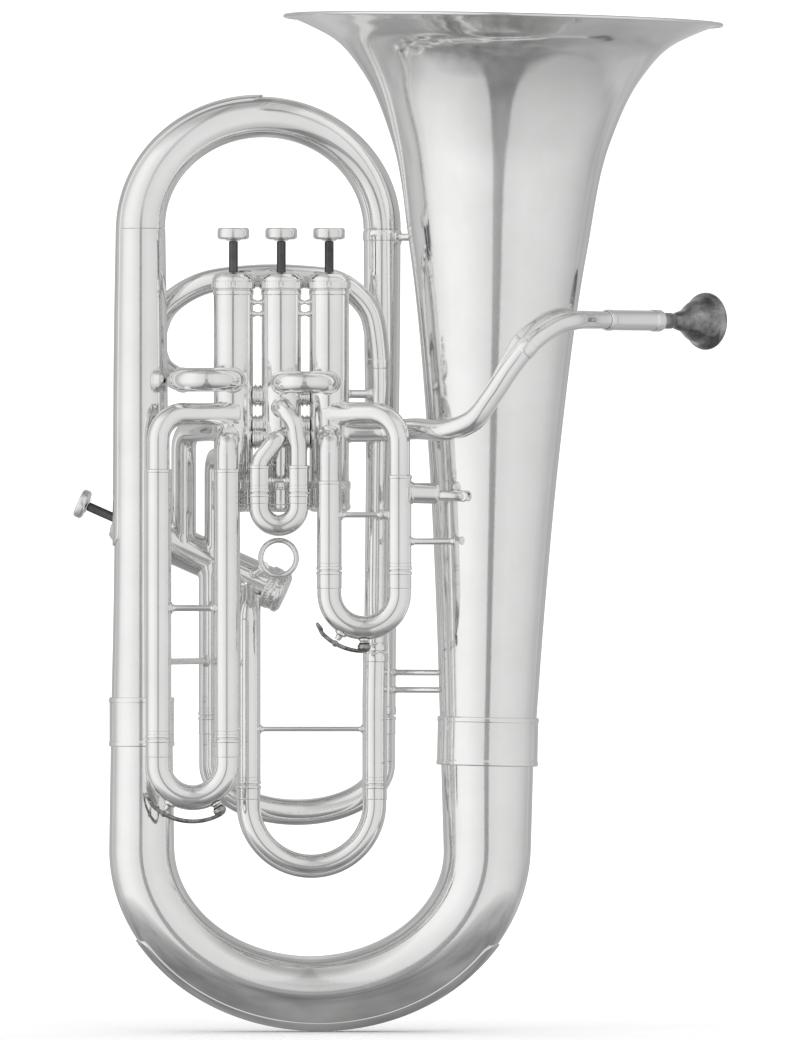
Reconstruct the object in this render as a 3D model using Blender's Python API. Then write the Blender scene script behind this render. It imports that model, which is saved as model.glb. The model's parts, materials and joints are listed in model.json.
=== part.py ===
"""Compensating euphonium (tenor tuba) with three top valves and one side valve.

Millimetres in the constants, metres in the scene. X runs to the right as the front is faced, Y away
from the front and Z up. The origin is the lowest point of the bottom bow.
"""
import math

import bmesh
import bpy
from mathutils import Matrix, Vector

MM = 0.001
GAP = 0.3                       # clearance between pieces that touch
WALL = 0.8                      # brass wall of the tubing
FIT = 0.35                      # radial clearance of a tube that slides in another

# Bell: a lathe-turned flare that leans a little to the right.
BELL_FOOT = Vector((119.86, 0.0, 200.3))
BELL_AXIS = Vector((math.sin(math.radians(1.25)), 0.0, math.cos(math.radians(1.25))))
BELL_LENGTH = 499.8
BELL_OUTLINE = (                # distance below the rim, outer radius
    (0.0, 150.6), (6.5, 134.5), (17.0, 115.0), (39.0, 96.0), (83.0, 76.0), (159.0, 61.5),
    (297.0, 45.6), (401.0, 38.0), (BELL_LENGTH, 32.7),
)
BELL_WALL = 0.9
RIM_BEAD = 1.9

# Main branches
BOW_HALF_SPAN = 119.6
BOW_CENTRE_Z = 127.0
BOW_DROP = 100.4
BOW_TOP_LEFT = 213.9
BOW_TOP_RIGHT = 199.2
BOW_RADIUS = (21.2, 25.35, 32.35)
BRANCH_X = -119.8
BRANCH_OUTLINE = ((214.2, 21.1), (298.0, 19.3), (485.0, 17.8), (555.4, 16.6))
TOP_BOW_Z = 555.7
TOP_BOW_RISE = 77.5
RIGHT_X = 46.8
RIGHT_Y = 32.0
RIGHT_OUTLINE = ((555.4, 12.9), (485.0, 12.5), (300.0, 9.9), (218.3, 9.3))
TOP_BOW_RADIUS = (16.5, 14.25, 13.0)
GUARD_HALF_ANGLE = math.radians(36.0)
GUARD_THICKNESS = 1.0

# Valves: heights are measured along the valve's own axis from the bottom cap's lower face.
VALVE_PITCH = 33.1
VALVE_Y = -15.0
VALVE_1_X = 10.2
VALVE_BASE_Z = 359.3
CASING_RADIUS = 13.65
CASING_BORE = 12.2
CAP_RADIUS = 14.9
TOP_CAP_RADIUS = 15.2
PISTON_RADIUS = CASING_BORE - FIT
STEM_RADIUS = 3.15
VALVE_SIDES = 16
CASING_BARS = ((137.0, 1.3), (145.0, 1.3), (80.5, 6.6), (60.0, 6.2), (50.5, 6.2))    # height, radius
SIDE_VALVE_BASE = Vector((-20.3, 27.5, 302.6))
SIDE_VALVE_AXIS = Vector((-140.4, 8.4, 62.2)).normalized()
TOP_SPEC = {"cap": 21.7, "casing": 161.0, "lid": 154.2, "lid_top": 165.6, "button": 187.6,
            "button_radius": 11.05, "button_height": 9.0, "piston": 88.0}
SIDE_SPEC = {"cap": 14.5, "casing": 126.3, "lid": 119.5, "lid_top": 129.8, "button": 150.2,
             "button_radius": 10.25, "button_height": 7.3, "piston": 64.0}

# Slides: leg x positions, plane y, joint z, bow height, sleeve radius, length of inner leg in the sleeve
SLIDES = {
    "slide_1": {"legs": (10.4, 58.5), "y": (-40.0, -40.0), "joint": 318.9, "bow": 303.3,
                "drop": 24.05, "radius": 8.6, "overlap": 42.0},
    "slide_2": {"legs": (-37.8, -11.1), "y": (-40.0, -40.0), "joint": 372.6, "bow": 363.4,
                "drop": 13.35, "radius": 7.65, "overlap": 14.0},
    "slide_3": {"legs": (-107.5, -60.1), "y": (-40.0, -40.0), "joint": 203.0, "bow": 185.9,
                "drop": 23.7, "radius": 9.0, "overlap": 80.0},
    "slide_4": {"legs": (-45.9, 41.6), "y": (8.0, 8.0), "joint": 170.5, "bow": 157.6,
                "drop": 43.7, "radius": 8.5, "overlap": 60.0},
    "main_slide": {"legs": (-71.2, RIGHT_X), "y": (27.0, RIGHT_Y), "joint": 218.0, "bow": 184.0,
                   "drop": 33.0, "radius": 9.3, "overlap": 55.0},
}
SLEEVE_WALL = 1.0
TUBE_SIDES = 10
KNUCKLE_RADIUS = 7.75

# Mouthpipe
LEADPIPE_ROUTE = (
    (19.0, -15.0, 415.0), (48.0, -16.0, 415.3), (70.0, -24.5, 416.8), (92.0, -46.0, 416.0),
    (110.0, -56.5, 423.5), (123.0, -59.0, 440.0), (135.0, -60.0, 458.0), (149.0, -58.5, 475.0),
    (166.0, -48.8, 487.5), (180.5, -36.5, 491.6), (189.5, -15.5, 492.2), (197.5, -5.2, 492.2),
    (206.5, 3.8, 492.2),
)
RECEIVER_END = Vector((239.7, 37.0, 492.2))
MOUTH_AXIS = Vector((1.0, 1.0, 0.0)).normalized()
RECEIVER_LENGTH = 53.7

ARCH_ROUTE = (
    (42.2, 8.2, 262.4), (43.4, 9.2, 380.0), (44.2, 10.0, 462.0), (39.0, 10.4, 497.0),
    (18.0, 10.8, 517.5), (-12.0, 11.0, 522.6), (-46.0, 11.0, 522.5), (-78.0, 14.0, 517.5),
    (-101.9, 21.5, 502.5), (-111.0, 27.0, 480.0), (-107.0, 26.5, 461.0), (-96.0, 20.5, 452.2),
    (-91.0, 11.0, 450.6), (-91.0, 5.0, 450.6),
)

REAR_LOOPS = {                  # x, upper height, lower height
    "valve_1": (10.2, 470.0, 402.0),
    "valve_2": (-22.9, 466.0, 436.0),
    "valve_3": (-52.0, 484.0, 434.5),
}
REAR_LOOP_DEPTH = 22.0

SILVER = ("silver_plate", (0.86, 0.86, 0.87), 0.16, 1.0)
GUARD_SILVER = ("guard_silver", (0.84, 0.84, 0.85), 0.22, 1.0)
DARK_STEEL = ("piston_alloy", (0.30, 0.30, 0.31), 0.30, 1.0)
SPRING_STEEL = ("spring_steel", (0.55, 0.55, 0.57), 0.30, 1.0)
MOUTHPIECE_SILVER = ("mouthpiece_silver", (0.55, 0.55, 0.56), 0.20, 1.0)

X_AXIS = Vector((1.0, 0.0, 0.0))
Y_AXIS = Vector((0.0, 1.0, 0.0))
Z_AXIS = Vector((0.0, 0.0, 1.0))


def clear_scene():
    for old in list(bpy.data.objects):
        bpy.data.objects.remove(old)


def material(spec):
    name, colour, roughness, metallic = spec
    found = bpy.data.materials.get(name)
    if found:
        return found
    made = bpy.data.materials.new(name)
    made.use_nodes = True
    shader = made.node_tree.nodes["Principled BSDF"]
    shader.inputs["Base Color"].default_value = (*colour, 1.0)
    shader.inputs["Roughness"].default_value = roughness
    shader.inputs["Metallic"].default_value = metallic
    made.diffuse_color = (*colour, 1.0)
    return made


def finish_mesh(name, bm, look):
    """Turn a bmesh in millimetres into a smooth-shaded object in metres."""
    bmesh.ops.recalc_face_normals(bm, faces=bm.faces)
    bmesh.ops.scale(bm, vec=(MM, MM, MM), verts=bm.verts)
    mesh = bpy.data.meshes.new(name)
    bm.to_mesh(mesh)
    bm.free()
    mesh.shade_smooth()
    mesh.set_sharp_from_angle(angle=math.radians(40.0))
    mesh.materials.append(material(look))
    made = bpy.data.objects.new(name, mesh)
    bpy.context.collection.objects.link(made)
    return made


def boolean(target, tool, operation):
    """Join a shape to another or cut it away, and drop the tool."""
    step = target.modifiers.new(operation.lower(), "BOOLEAN")
    step.operation = operation
    step.solver = "EXACT"
    step.object = tool
    graph = bpy.context.evaluated_depsgraph_get()
    result = bpy.data.meshes.new_from_object(target.evaluated_get(graph))
    target.modifiers.clear()
    target.data = result
    bpy.data.objects.remove(tool)
    return target


def union(target, *others):
    for other in others:
        boolean(target, other, "UNION")
    target.data.shade_smooth()
    target.data.set_sharp_from_angle(angle=math.radians(40.0))
    return target


def set_origin(made, point):
    """Put a moving piece's origin on its joint's axis."""
    offset = Vector(point) * MM
    made.data.transform(Matrix.Translation(-offset))
    made.location = offset


# Centrelines ---------------------------------------------------------------------------------

def bent(*corners, step=math.radians(46.0)):
    """Straight runs with round corners; an inner corner is (x, y, z, bend radius)."""
    points = [Vector(corner[:3]) for corner in corners]
    samples = [(points[0], (points[1] - points[0]).normalized())]
    for index in range(1, len(points) - 1):
        along = (points[index] - points[index - 1]).normalized()
        onward = (points[index + 1] - points[index]).normalized()
        turn = along.angle(onward)
        radius = corners[index][3]
        inward = (onward - along * along.dot(onward)).normalized()
        start = points[index] - along * radius * math.tan(turn / 2)
        centre = start + inward * radius
        count = max(1, math.ceil(turn / step))
        for number in range(count + 1):
            angle = turn * number / count
            place = centre - inward * radius * math.cos(angle) + along * radius * math.sin(angle)
            samples.append((place, along * math.cos(angle) + inward * math.sin(angle)))
    samples.append((points[-1], (points[-1] - points[-2]).normalized()))
    return samples


def half_ellipse(left, right, depth, count):
    """A bow from one foot to the other; depth is negative for a bow that hangs down."""
    left, right = Vector(left), Vector(right)
    centre = (left + right) / 2
    side = (left - right) / 2
    samples = []
    for number in range(count + 1):
        angle = math.pi * number / count
        place = centre + side * math.cos(angle) + Z_AXIS * depth * math.sin(angle)
        heading = -side * math.sin(angle) + Z_AXIS * depth * math.cos(angle)
        samples.append((place, heading.normalized()))
    return samples


def flowing(route, per_span=2):
    """A smooth curve through the route's points."""
    points = [Vector(point) for point in route]
    slopes = [points[1] - points[0]]
    slopes += [(points[i + 1] - points[i - 1]) / 2 for i in range(1, len(points) - 1)]
    slopes.append(points[-1] - points[-2])
    samples = []
    for index in range(len(points) - 1):
        a, b, m, n = points[index], points[index + 1], slopes[index], slopes[index + 1]
        for number in range(per_span):
            t = number / per_span
            place = (a * (2 * t**3 - 3 * t**2 + 1) + m * (t**3 - 2 * t**2 + t)
                     + b * (3 * t**2 - 2 * t**3) + n * (t**3 - t**2))
            heading = (a * (6 * t**2 - 6 * t) + m * (3 * t**2 - 4 * t + 1)
                       + b * (6 * t - 6 * t**2) + n * (3 * t**2 - 2 * t))
            samples.append((place, heading.normalized()))
    samples.append((points[-1], slopes[-1].normalized()))
    return samples


def marks_of(samples):
    """Distance along the centreline at each sample."""
    marks = [0.0]
    for (before, _), (after, _) in zip(samples, samples[1:]):
        marks.append(marks[-1] + (after - before).length)
    return marks


def value_at(stations, distance):
    """Straight-line interpolation in a table of (distance, value, ...) rows."""
    if distance <= stations[0][0]:
        return stations[0][1:]
    for low, high in zip(stations, stations[1:]):
        if distance <= high[0] and high[0] > low[0]:
            share = (distance - low[0]) / (high[0] - low[0])
            return tuple(a + (b - a) * share for a, b in zip(low[1:], high[1:]))
    return stations[-1][1:]


def place_at(samples, marks, distance):
    for index in range(len(samples) - 1):
        if distance <= marks[index + 1]:
            share = (distance - marks[index]) / (marks[index + 1] - marks[index])
            place = samples[index][0].lerp(samples[index + 1][0], share)
            return place, samples[index][1].lerp(samples[index + 1][1], share).normalized()
    return samples[-1]


def rings_along(samples, stations):
    """Rings (place, heading, outer radius, bore radius): one per sample and one per station."""
    marks = marks_of(samples)
    rings = []
    for (place, heading), mark in zip(samples, marks):
        if all(abs(mark - station[0]) > 0.5 for station in stations):
            rings.append((mark, place, heading, *value_at(stations, mark)))
    for order, (distance, outer, bore) in enumerate(stations):
        place, heading = place_at(samples, marks, distance)
        rings.append((distance + order * 1e-6, place, heading, outer, bore))
    rings.sort(key=lambda ring: ring[0])
    return [ring[1:] for ring in rings]


# Solids --------------------------------------------------------------------------------------

def frame_normals(headings):
    """Normals carried along a centreline without twist."""
    guide = X_AXIS if abs(headings[0].x) < 0.9 else Z_AXIS
    normal = (guide - headings[0] * guide.dot(headings[0])).normalized()
    normals = [normal]
    for before, after in zip(headings, headings[1:]):
        normal = before.rotation_difference(after) @ normal
        normal = (normal - after * normal.dot(after)).normalized()
        normals.append(normal)
    return normals


def ring_verts(bm, place, heading, normal, radius, sides):
    other = heading.cross(normal)
    return [bm.verts.new(place + normal * radius * math.cos(math.tau * k / sides)
                         + other * radius * math.sin(math.tau * k / sides)) for k in range(sides)]


def bridge(bm, first, second):
    count = len(first)
    for k in range(count):
        following = (k + 1) % count
        bm.faces.new((first[k], first[following], second[following], second[k]))


def hollow(name, samples, stations, sides=TUBE_SIDES, look=SILVER):
    """An open-ended tube whose outer and bore radii follow the stations."""
    rings = rings_along(samples, stations)
    normals = frame_normals([ring[1] for ring in rings])
    bm = bmesh.new()
    outer = [ring_verts(bm, p, d, n, ro, sides) for (p, d, ro, _), n in zip(rings, normals)]
    inner = [ring_verts(bm, p, d, n, ri, sides) for (p, d, _, ri), n in zip(rings, normals)]
    for skin in (outer, inner):
        for first, second in zip(skin, skin[1:]):
            bridge(bm, first, second)
    bridge(bm, outer[0], inner[0])
    bridge(bm, outer[-1], inner[-1])
    return finish_mesh(name, bm, look)


def plain_tube(name, samples, radius, wall=WALL, sides=TUBE_SIDES, look=SILVER):
    length = marks_of(samples)[-1]
    stations = ((0.0, radius, radius - wall), (length, radius, radius - wall))
    return hollow(name, samples, stations, sides, look)


def rod(name, start, end, radius, sides=8, look=SILVER, end_radius=None):
    """A solid round bar between two points."""
    start, end = Vector(start), Vector(end)
    heading = (end - start).normalized()
    normal = frame_normals([heading])[0]
    bm = bmesh.new()
    first = ring_verts(bm, start, heading, normal, radius, sides)
    second = ring_verts(bm, end, heading, normal, end_radius or radius, sides)
    bridge(bm, first, second)
    bm.faces.new(first)
    bm.faces.new(second)
    return finish_mesh(name, bm, look)


def bar_along(name, samples, radius, sides=6, look=SILVER):
    """A solid round bar along a centreline."""
    normals = frame_normals([heading for _, heading in samples])
    bm = bmesh.new()
    rings = [ring_verts(bm, p, d, n, radius, sides) for (p, d), n in zip(samples, normals)]
    for first, second in zip(rings, rings[1:]):
        bridge(bm, first, second)
    bm.faces.new(rings[0])
    bm.faces.new(rings[-1])
    return finish_mesh(name, bm, look)


def turned(name, outline, base, axis, sides=VALVE_SIDES, look=SILVER, closed=True):
    """A turned piece: outline of (radius, height); radius 0 is a point on the axis."""
    normal = frame_normals([axis])[0]
    other = axis.cross(normal)
    bm = bmesh.new()
    rings = []
    for radius, height in outline:
        centre = base + axis * height
        if radius == 0.0:
            rings.append([bm.verts.new(centre)])
            continue
        rings.append([bm.verts.new(centre + normal * radius * math.cos(math.tau * k / sides)
                                   + other * radius * math.sin(math.tau * k / sides))
                      for k in range(sides)])
    pairs = list(zip(rings, rings[1:]))
    if closed:
        pairs.append((rings[-1], rings[0]))
    for first, second in pairs:
        if len(first) == 1 or len(second) == 1:
            tip, ring = (first[0], second) if len(first) == 1 else (second[0], first)
            for k in range(sides):
                bm.faces.new((tip, ring[k], ring[(k + 1) % sides]))
        else:
            bridge(bm, first, second)
    return finish_mesh(name, bm, look)


def guard_strip(name, rings, outward_sign):
    """A thin plate that wraps the outside of a bow: rings of (place, heading, tube radius)."""
    steps = 6
    angles = [GUARD_HALF_ANGLE * (2 * k / steps - 1) for k in range(steps + 1)]
    bm = bmesh.new()
    skins = []
    for place, heading, radius in rings:
        outward = Y_AXIS.cross(heading).normalized() * outward_sign
        side = heading.cross(outward)
        rays = [outward * math.cos(a) + side * math.sin(a) for a in angles]
        low, high = radius + GAP, radius + GAP + GUARD_THICKNESS
        skins.append(([bm.verts.new(place + ray * high) for ray in rays],
                      [bm.verts.new(place + ray * low) for ray in rays]))
    for (top_a, low_a), (top_b, low_b) in zip(skins, skins[1:]):
        for k in range(steps):
            bm.faces.new((top_a[k], top_a[k + 1], top_b[k + 1], top_b[k]))
            bm.faces.new((low_a[k], low_b[k], low_b[k + 1], low_a[k + 1]))
        for k in (0, steps):
            bm.faces.new((top_a[k], top_b[k], low_b[k], low_a[k]))
    for top, low in (skins[0], skins[-1]):
        for k in range(steps):
            bm.faces.new((top[k], low[k], low[k + 1], top[k + 1]))
    return finish_mesh(name, bm, GUARD_SILVER)


# Bell and branches ---------------------------------------------------------------------------

def bell_outline():
    """Outer flare from foot to rim, rolled bead, then the bore back to the foot."""
    outer = [(radius, BELL_LENGTH - depth) for depth, radius in reversed(BELL_OUTLINE)]
    rim_radius = BELL_OUTLINE[0][1] + RIM_BEAD
    rim = [(rim_radius, BELL_LENGTH - 0.6), (rim_radius, BELL_LENGTH + BELL_WALL)]
    bore = [(radius - BELL_WALL, height + BELL_WALL * min(1.0, max(0.0, (radius - 60.0) / 60.0)))
            for radius, height in reversed(outer)]
    return outer + rim + bore


def make_bell():
    turned("bell", bell_outline(), BELL_FOOT, BELL_AXIS, sides=24)
    ferrule = ((34.2, -16.5), (34.9, -16.5), (35.2, -12.0), (35.2, 13.0), (34.9, 17.2), (34.2, 17.2))
    turned("bell_bow_ferrule", ferrule, BELL_FOOT, BELL_AXIS, sides=24)


def bottom_bow_samples():
    bow = half_ellipse((-BOW_HALF_SPAN, 0.0, BOW_CENTRE_Z), (BOW_HALF_SPAN, 0.0, BOW_CENTRE_Z),
                       -BOW_DROP, 12)
    left = (Vector((-BOW_HALF_SPAN, 0.0, BOW_TOP_LEFT)), -Z_AXIS)
    right = (Vector((BOW_HALF_SPAN, 0.0, BOW_TOP_RIGHT)), Z_AXIS)
    return [left, *bow, right]


def make_bottom_bow():
    samples = bottom_bow_samples()
    marks = marks_of(samples)
    stations = [(mark, radius, radius - WALL) for mark, radius
                in zip((0.0, marks[len(marks) // 2], marks[-1]), BOW_RADIUS)]
    hollow("bottom_bow", samples, stations, sides=18)
    rings = [(place, heading, value_at(stations, mark)[0])
             for (place, heading), mark in zip(samples, marks)]
    guard_strip("bottom_bow_guard", rings[3:12], 1.0)
    foot = Vector((-BOW_HALF_SPAN, 0.0, 214.05))
    ferrule = ((21.85, -17.0), (22.4, -17.0), (22.7, -13.0), (22.7, 13.0), (22.4, 17.0), (21.85, 17.0))
    turned("branch_ferrule", ferrule, foot, Z_AXIS, sides=20)


def vertical(x, y, low, high):
    """Samples of an upright tube, listed from the first height to the second."""
    heading = Z_AXIS if high > low else -Z_AXIS
    return [(Vector((x, y, low)), heading), (Vector((x, y, high)), heading)]


def make_branches():
    start = BRANCH_OUTLINE[0][0]
    samples = vertical(BRANCH_X, 0.0, start, BRANCH_OUTLINE[-1][0])
    stations = [(z - start, radius, radius - WALL) for z, radius in BRANCH_OUTLINE]
    hollow("left_branch", samples, stations, sides=18)

    bow = half_ellipse((BRANCH_X, 0.0, TOP_BOW_Z), (RIGHT_X, RIGHT_Y, TOP_BOW_Z), TOP_BOW_RISE, 10)
    marks = marks_of(bow)
    bow_stations = [(mark, radius, radius - WALL) for mark, radius
                    in zip((0.0, marks[5], marks[-1]), TOP_BOW_RADIUS)]
    hollow("top_bow", bow, bow_stations, sides=16)

    guard = []
    for z in (336.0, 485.0, 555.4):
        radius = value_at(stations, z - start)[0]
        guard.append((Vector((BRANCH_X, 0.0, z)), Z_AXIS, radius))
    guard += [(place, heading, value_at(bow_stations, mark)[0])
              for (place, heading), mark in list(zip(bow, marks))[1:6]]
    guard_strip("top_bow_guard", guard, -1.0)

    top = RIGHT_OUTLINE[0][0]
    right = vertical(RIGHT_X, RIGHT_Y, top, RIGHT_OUTLINE[-1][0])
    sleeve = SLIDES["main_slide"]["radius"] - SLEEVE_WALL
    right_stations = [(top - z, radius, max(radius - WALL, sleeve)) for z, radius in RIGHT_OUTLINE[:2]]
    right_stations += [(top - 300.0, RIGHT_OUTLINE[2][1], sleeve),
                       (top - RIGHT_OUTLINE[-1][0], RIGHT_OUTLINE[-1][1], sleeve)]
    branch = hollow("right_branch", right, right_stations, sides=12)
    struts = [rod("strut", (54.95, 28.8, z), bell_side(z, -0.92, 0.39), 2.1)
              for z in (236.0, 248.0)]
    struts.append(rod("strut", (58.3, 27.4, 550.0), bell_side(550.0, -0.93, 0.37), 2.6))
    union(branch, *struts)


def bell_radius(z):
    """Outer radius of the bell at a height, and the x of its axis there."""
    height = (z - BELL_FOOT.z) / BELL_AXIS.z
    table = [(BELL_LENGTH - depth, radius) for depth, radius in reversed(BELL_OUTLINE)]
    return value_at(table, height)[0], BELL_FOOT.x + BELL_AXIS.x * height


def bell_side(z, dx, dy):
    """A point just clear of the bell's outside, in the direction (dx, dy) from its axis."""
    radius, axis_x = bell_radius(z)
    ray = Vector((dx, dy, 0.0)).normalized() * (radius + 2 * GAP)
    return Vector((axis_x, 0.0, z)) + ray


# Valves --------------------------------------------------------------------------------------

def valve_frames():
    frames = {}
    for number in range(3):
        base = Vector((VALVE_1_X - VALVE_PITCH * number, VALVE_Y, VALVE_BASE_Z))
        frames[f"valve_{number + 1}"] = (base, Z_AXIS, TOP_SPEC)
    frames["valve_4"] = (SIDE_VALVE_BASE, SIDE_VALVE_AXIS, SIDE_SPEC)
    return frames


def coil(name, base, axis, low, high, radius=8.6, wire=0.75, turns=6, per_turn=6):
    """A compression spring between two heights on the valve's axis."""
    normal = frame_normals([axis])[0]
    other = axis.cross(normal)
    count = turns * per_turn
    rise = (high - low - 2 * wire) / count
    samples = []
    for k in range(count + 1):
        angle = math.tau * k / per_turn
        ray = normal * math.cos(angle) + other * math.sin(angle)
        along = -normal * math.sin(angle) + other * math.cos(angle)
        place = base + axis * (low + wire + rise * k) + ray * radius
        samples.append((place, (along * radius * math.tau / per_turn + axis * rise).normalized()))
    return bar_along(name, samples, wire, sides=4, look=SPRING_STEEL)


def make_valve(name, base, axis, spec):
    floor = 3.0
    cap = ((3.0, 0.0), (11.5, 0.0), (CAP_RADIUS, 2.2), (CAP_RADIUS, spec["cap"]),
           (CASING_RADIUS + FIT, spec["cap"]), (CASING_RADIUS + FIT, floor), (3.0, floor))
    turned(f"{name}_bottom_cap", cap, base, axis)

    casing = ((CASING_RADIUS, floor + GAP), (CASING_RADIUS, spec["casing"]),
              (CASING_BORE, spec["casing"]), (CASING_BORE, floor + GAP))
    body = turned(f"{name}_casing", casing, base, axis)

    top = spec["lid_top"]
    lid = ((CASING_RADIUS + FIT, spec["lid"]), (TOP_CAP_RADIUS, spec["lid"]), (TOP_CAP_RADIUS, top - 3.5),
           (12.5, top), (STEM_RADIUS + FIT, top), (STEM_RADIUS + FIT, top - 3.0),
           (CASING_RADIUS + FIT, spec["casing"] + GAP))
    turned(f"{name}_top_cap", lid, base, axis)

    piston_top = spec["casing"] - 5.0
    piston_low = piston_top - spec["piston"]
    seat = spec["button"] - GAP
    shape = ((0.0, piston_low), (PISTON_RADIUS, piston_low), (PISTON_RADIUS, piston_top),
             (STEM_RADIUS, piston_top), (STEM_RADIUS, seat), (2.0, seat), (2.0, seat + 4.4),
             (0.0, seat + 4.4))
    piston = turned(f"{name}_piston", shape, base, axis, look=DARK_STEEL, closed=False)
    side = frame_normals([axis])[0]
    for share, across in ((0.3, side), (0.68, axis.cross(side))):
        middle = base + axis * (piston_low + spec["piston"] * share)
        boolean(piston, rod("port", middle - across * 20.0, middle + across * 20.0, 5.4), "DIFFERENCE")
    hollow_low = base + axis * (piston_low + 2.2)
    hollow_high = base + axis * (piston_top - 2.2)
    boolean(piston, rod("hollow", hollow_low, hollow_high, PISTON_RADIUS - 1.2, sides=VALVE_SIDES),
            "DIFFERENCE")
    union(piston)

    low, wide, tall = spec["button"], spec["button_radius"], spec["button_height"]
    button = ((0.0, low + 4.8), (2.35, low + 4.8), (2.35, low), (5.2, low), (5.8, low + tall * 0.32),
              (wide, low + tall * 0.38), (wide, low + tall * 0.86), (wide - 1.2, low + tall),
              (0.0, low + tall - 0.8))
    knob = turned(f"{name}_button", button, base, axis, closed=False)
    coil(f"{name}_spring", base, axis, floor + GAP, piston_low - GAP)
    set_origin(piston, base + axis * seat)
    set_origin(knob, base + axis * seat)
    return body


def valve_envelope(base, axis, spec):
    """The space a valve's casing and caps take, with the clearance that its neighbours keep."""
    skin = GAP / math.cos(math.pi / VALVE_SIDES)
    case = rod("envelope", base - axis * 1.0, base + axis * (spec["casing"] + 20.0), CASING_RADIUS + skin,
               sides=VALVE_SIDES)
    cap = rod("envelope_cap", base - axis * 2.0, base + axis * (spec["cap"] + GAP), CAP_RADIUS + skin,
              sides=VALVE_SIDES)
    return case, cap


def fit_to_valve(made, frame):
    for tool in valve_envelope(*frame):
        boolean(made, tool, "DIFFERENCE")
    return made


def make_valves(frames):
    bodies = {name: make_valve(name, *frame) for name, frame in frames.items()}
    middle = frames["valve_2"][0]
    reach = VALVE_PITCH - CASING_RADIUS - 2 * GAP
    bars = []
    for height, radius in CASING_BARS:
        for sign in (-1.0, 1.0):
            start = middle + X_AXIS * sign * (CASING_RADIUS - 0.9) + Z_AXIS * height
            bars.append(rod("bar", start, middle + X_AXIS * sign * reach + Z_AXIS * height, radius))
    union(bodies["valve_2"], *bars)


# Slides --------------------------------------------------------------------------------------

def make_crook(name, spec):
    """The moving U of a slide: two inner legs, and a bow of the sleeves' outside size."""
    (left, right), (y_left, y_right) = spec["legs"], spec["y"]
    joint, radius = spec["joint"] - GAP, spec["radius"]
    leg = radius - SLEEVE_WALL - FIT
    top = spec["joint"] + spec["overlap"]
    bow = half_ellipse((left, y_left, spec["bow"]), (right, y_right, spec["bow"]), -spec["drop"], 6)
    samples = [(Vector((left, y_left, top)), -Z_AXIS), *bow, (Vector((right, y_right, top)), Z_AXIS)]
    length = marks_of(samples)[-1]
    drop, run = top - joint, top - spec["bow"]
    half = ((0.0, leg, leg - WALL), (drop, leg, leg - WALL), (drop, radius, leg - WALL),
            (run, radius, radius - WALL))
    stations = list(half) + [(length - distance, outer, bore) for distance, outer, bore in reversed(half)]
    return hollow(name, samples, stations)


def sleeve_tube(name, samples, spec, sleeve_length, upper=KNUCKLE_RADIUS):
    """A slide's outer leg, which narrows to the knuckle's size above the sleeve."""
    radius = spec["radius"]
    bore = radius - SLEEVE_WALL
    length = marks_of(samples)[-1]
    stations = [(0.0, radius, bore), (sleeve_length - 4.0, radius, bore),
                (sleeve_length, radius, min(bore, upper - WALL)), (sleeve_length, upper, upper - WALL),
                (length, upper, upper - WALL)]
    return hollow(name, samples, stations)


def strut_between(left_x, right_x, y, z, radius, left_tube, right_tube):
    """A cross bar whose ends stop inside the two tubes' walls."""
    return rod("strut", (left_x + left_tube - 0.45, y, z), (right_x - right_tube + 0.45, y, z), radius)


def make_slide_1(frames):
    spec = SLIDES["slide_1"]
    left, right = spec["legs"]
    y, joint, radius = spec["y"][0], spec["joint"], spec["radius"]
    short_leg = bent((left, y, joint), (left, y, 411.0, 11.0), (left, -25.5, 411.0))
    long_leg = bent((right, y, joint), (right, y, 427.6, 20.0), (17.5, -23.8, 427.6))
    inner = sleeve_tube("slide_1_frame", short_leg, spec, 62.0)
    outer = sleeve_tube("leg", long_leg, spec, 66.0)
    collar_x = right - radius + 0.45
    parts = [strut_between(left, right, y, 357.4, 2.0, radius, radius),
             rod("collar", (collar_x - 4.5, y, 357.4), (collar_x, y, 357.4), 3.4)]
    knee = right + radius - 0.45
    parts.append(rod("brace", (knee, y, 372.5), (86.0, -39.0, 372.0), 7.2, sides=10))
    bell_r, bell_x = bell_radius(371.0)
    foot_x = 104.0
    foot_y = -math.sqrt(bell_r**2 - (bell_x - foot_x)**2)
    parts.append(rod("brace_arm", (84.0, -39.1, 371.0), (foot_x - 2.0, foot_y - 4.2, 370.0), 3.6))
    parts.append(rod("lower_arm", (knee, y, 339.0), (96.0, -37.8, 339.0), 2.2))
    fit_to_valve(inner, frames["valve_1"])
    fit_to_valve(outer, frames["valve_1"])
    union(inner, outer, *parts)


def make_slide_2(frames):
    spec = SLIDES["slide_2"]
    left, right = spec["legs"]
    y, joint, radius = spec["y"][0], spec["joint"], spec["radius"]
    high = bent((right, y, joint), (right, y, 404.0, 12.0), (-13.0, -41.5, 420.0, 10.0),
                (-21.5, -37.0, 431.5, 8.0), (-22.9, -25.5, 431.5))
    low = bent((left, y, joint), (left, y, 394.0, 10.0), (-25.0, -39.0, 410.5, 9.0), (-22.0, -25.5, 411.0))
    tubes = [sleeve_tube(name, samples, spec, 19.0, upper=6.3)
             for name, samples in (("slide_2_frame", low), ("leg", high))]
    for tube in tubes:
        fit_to_valve(tube, frames["valve_2"])
    union(tubes[0], tubes[1], strut_between(left, right, y, 381.0, 1.6, radius, radius))


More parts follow.
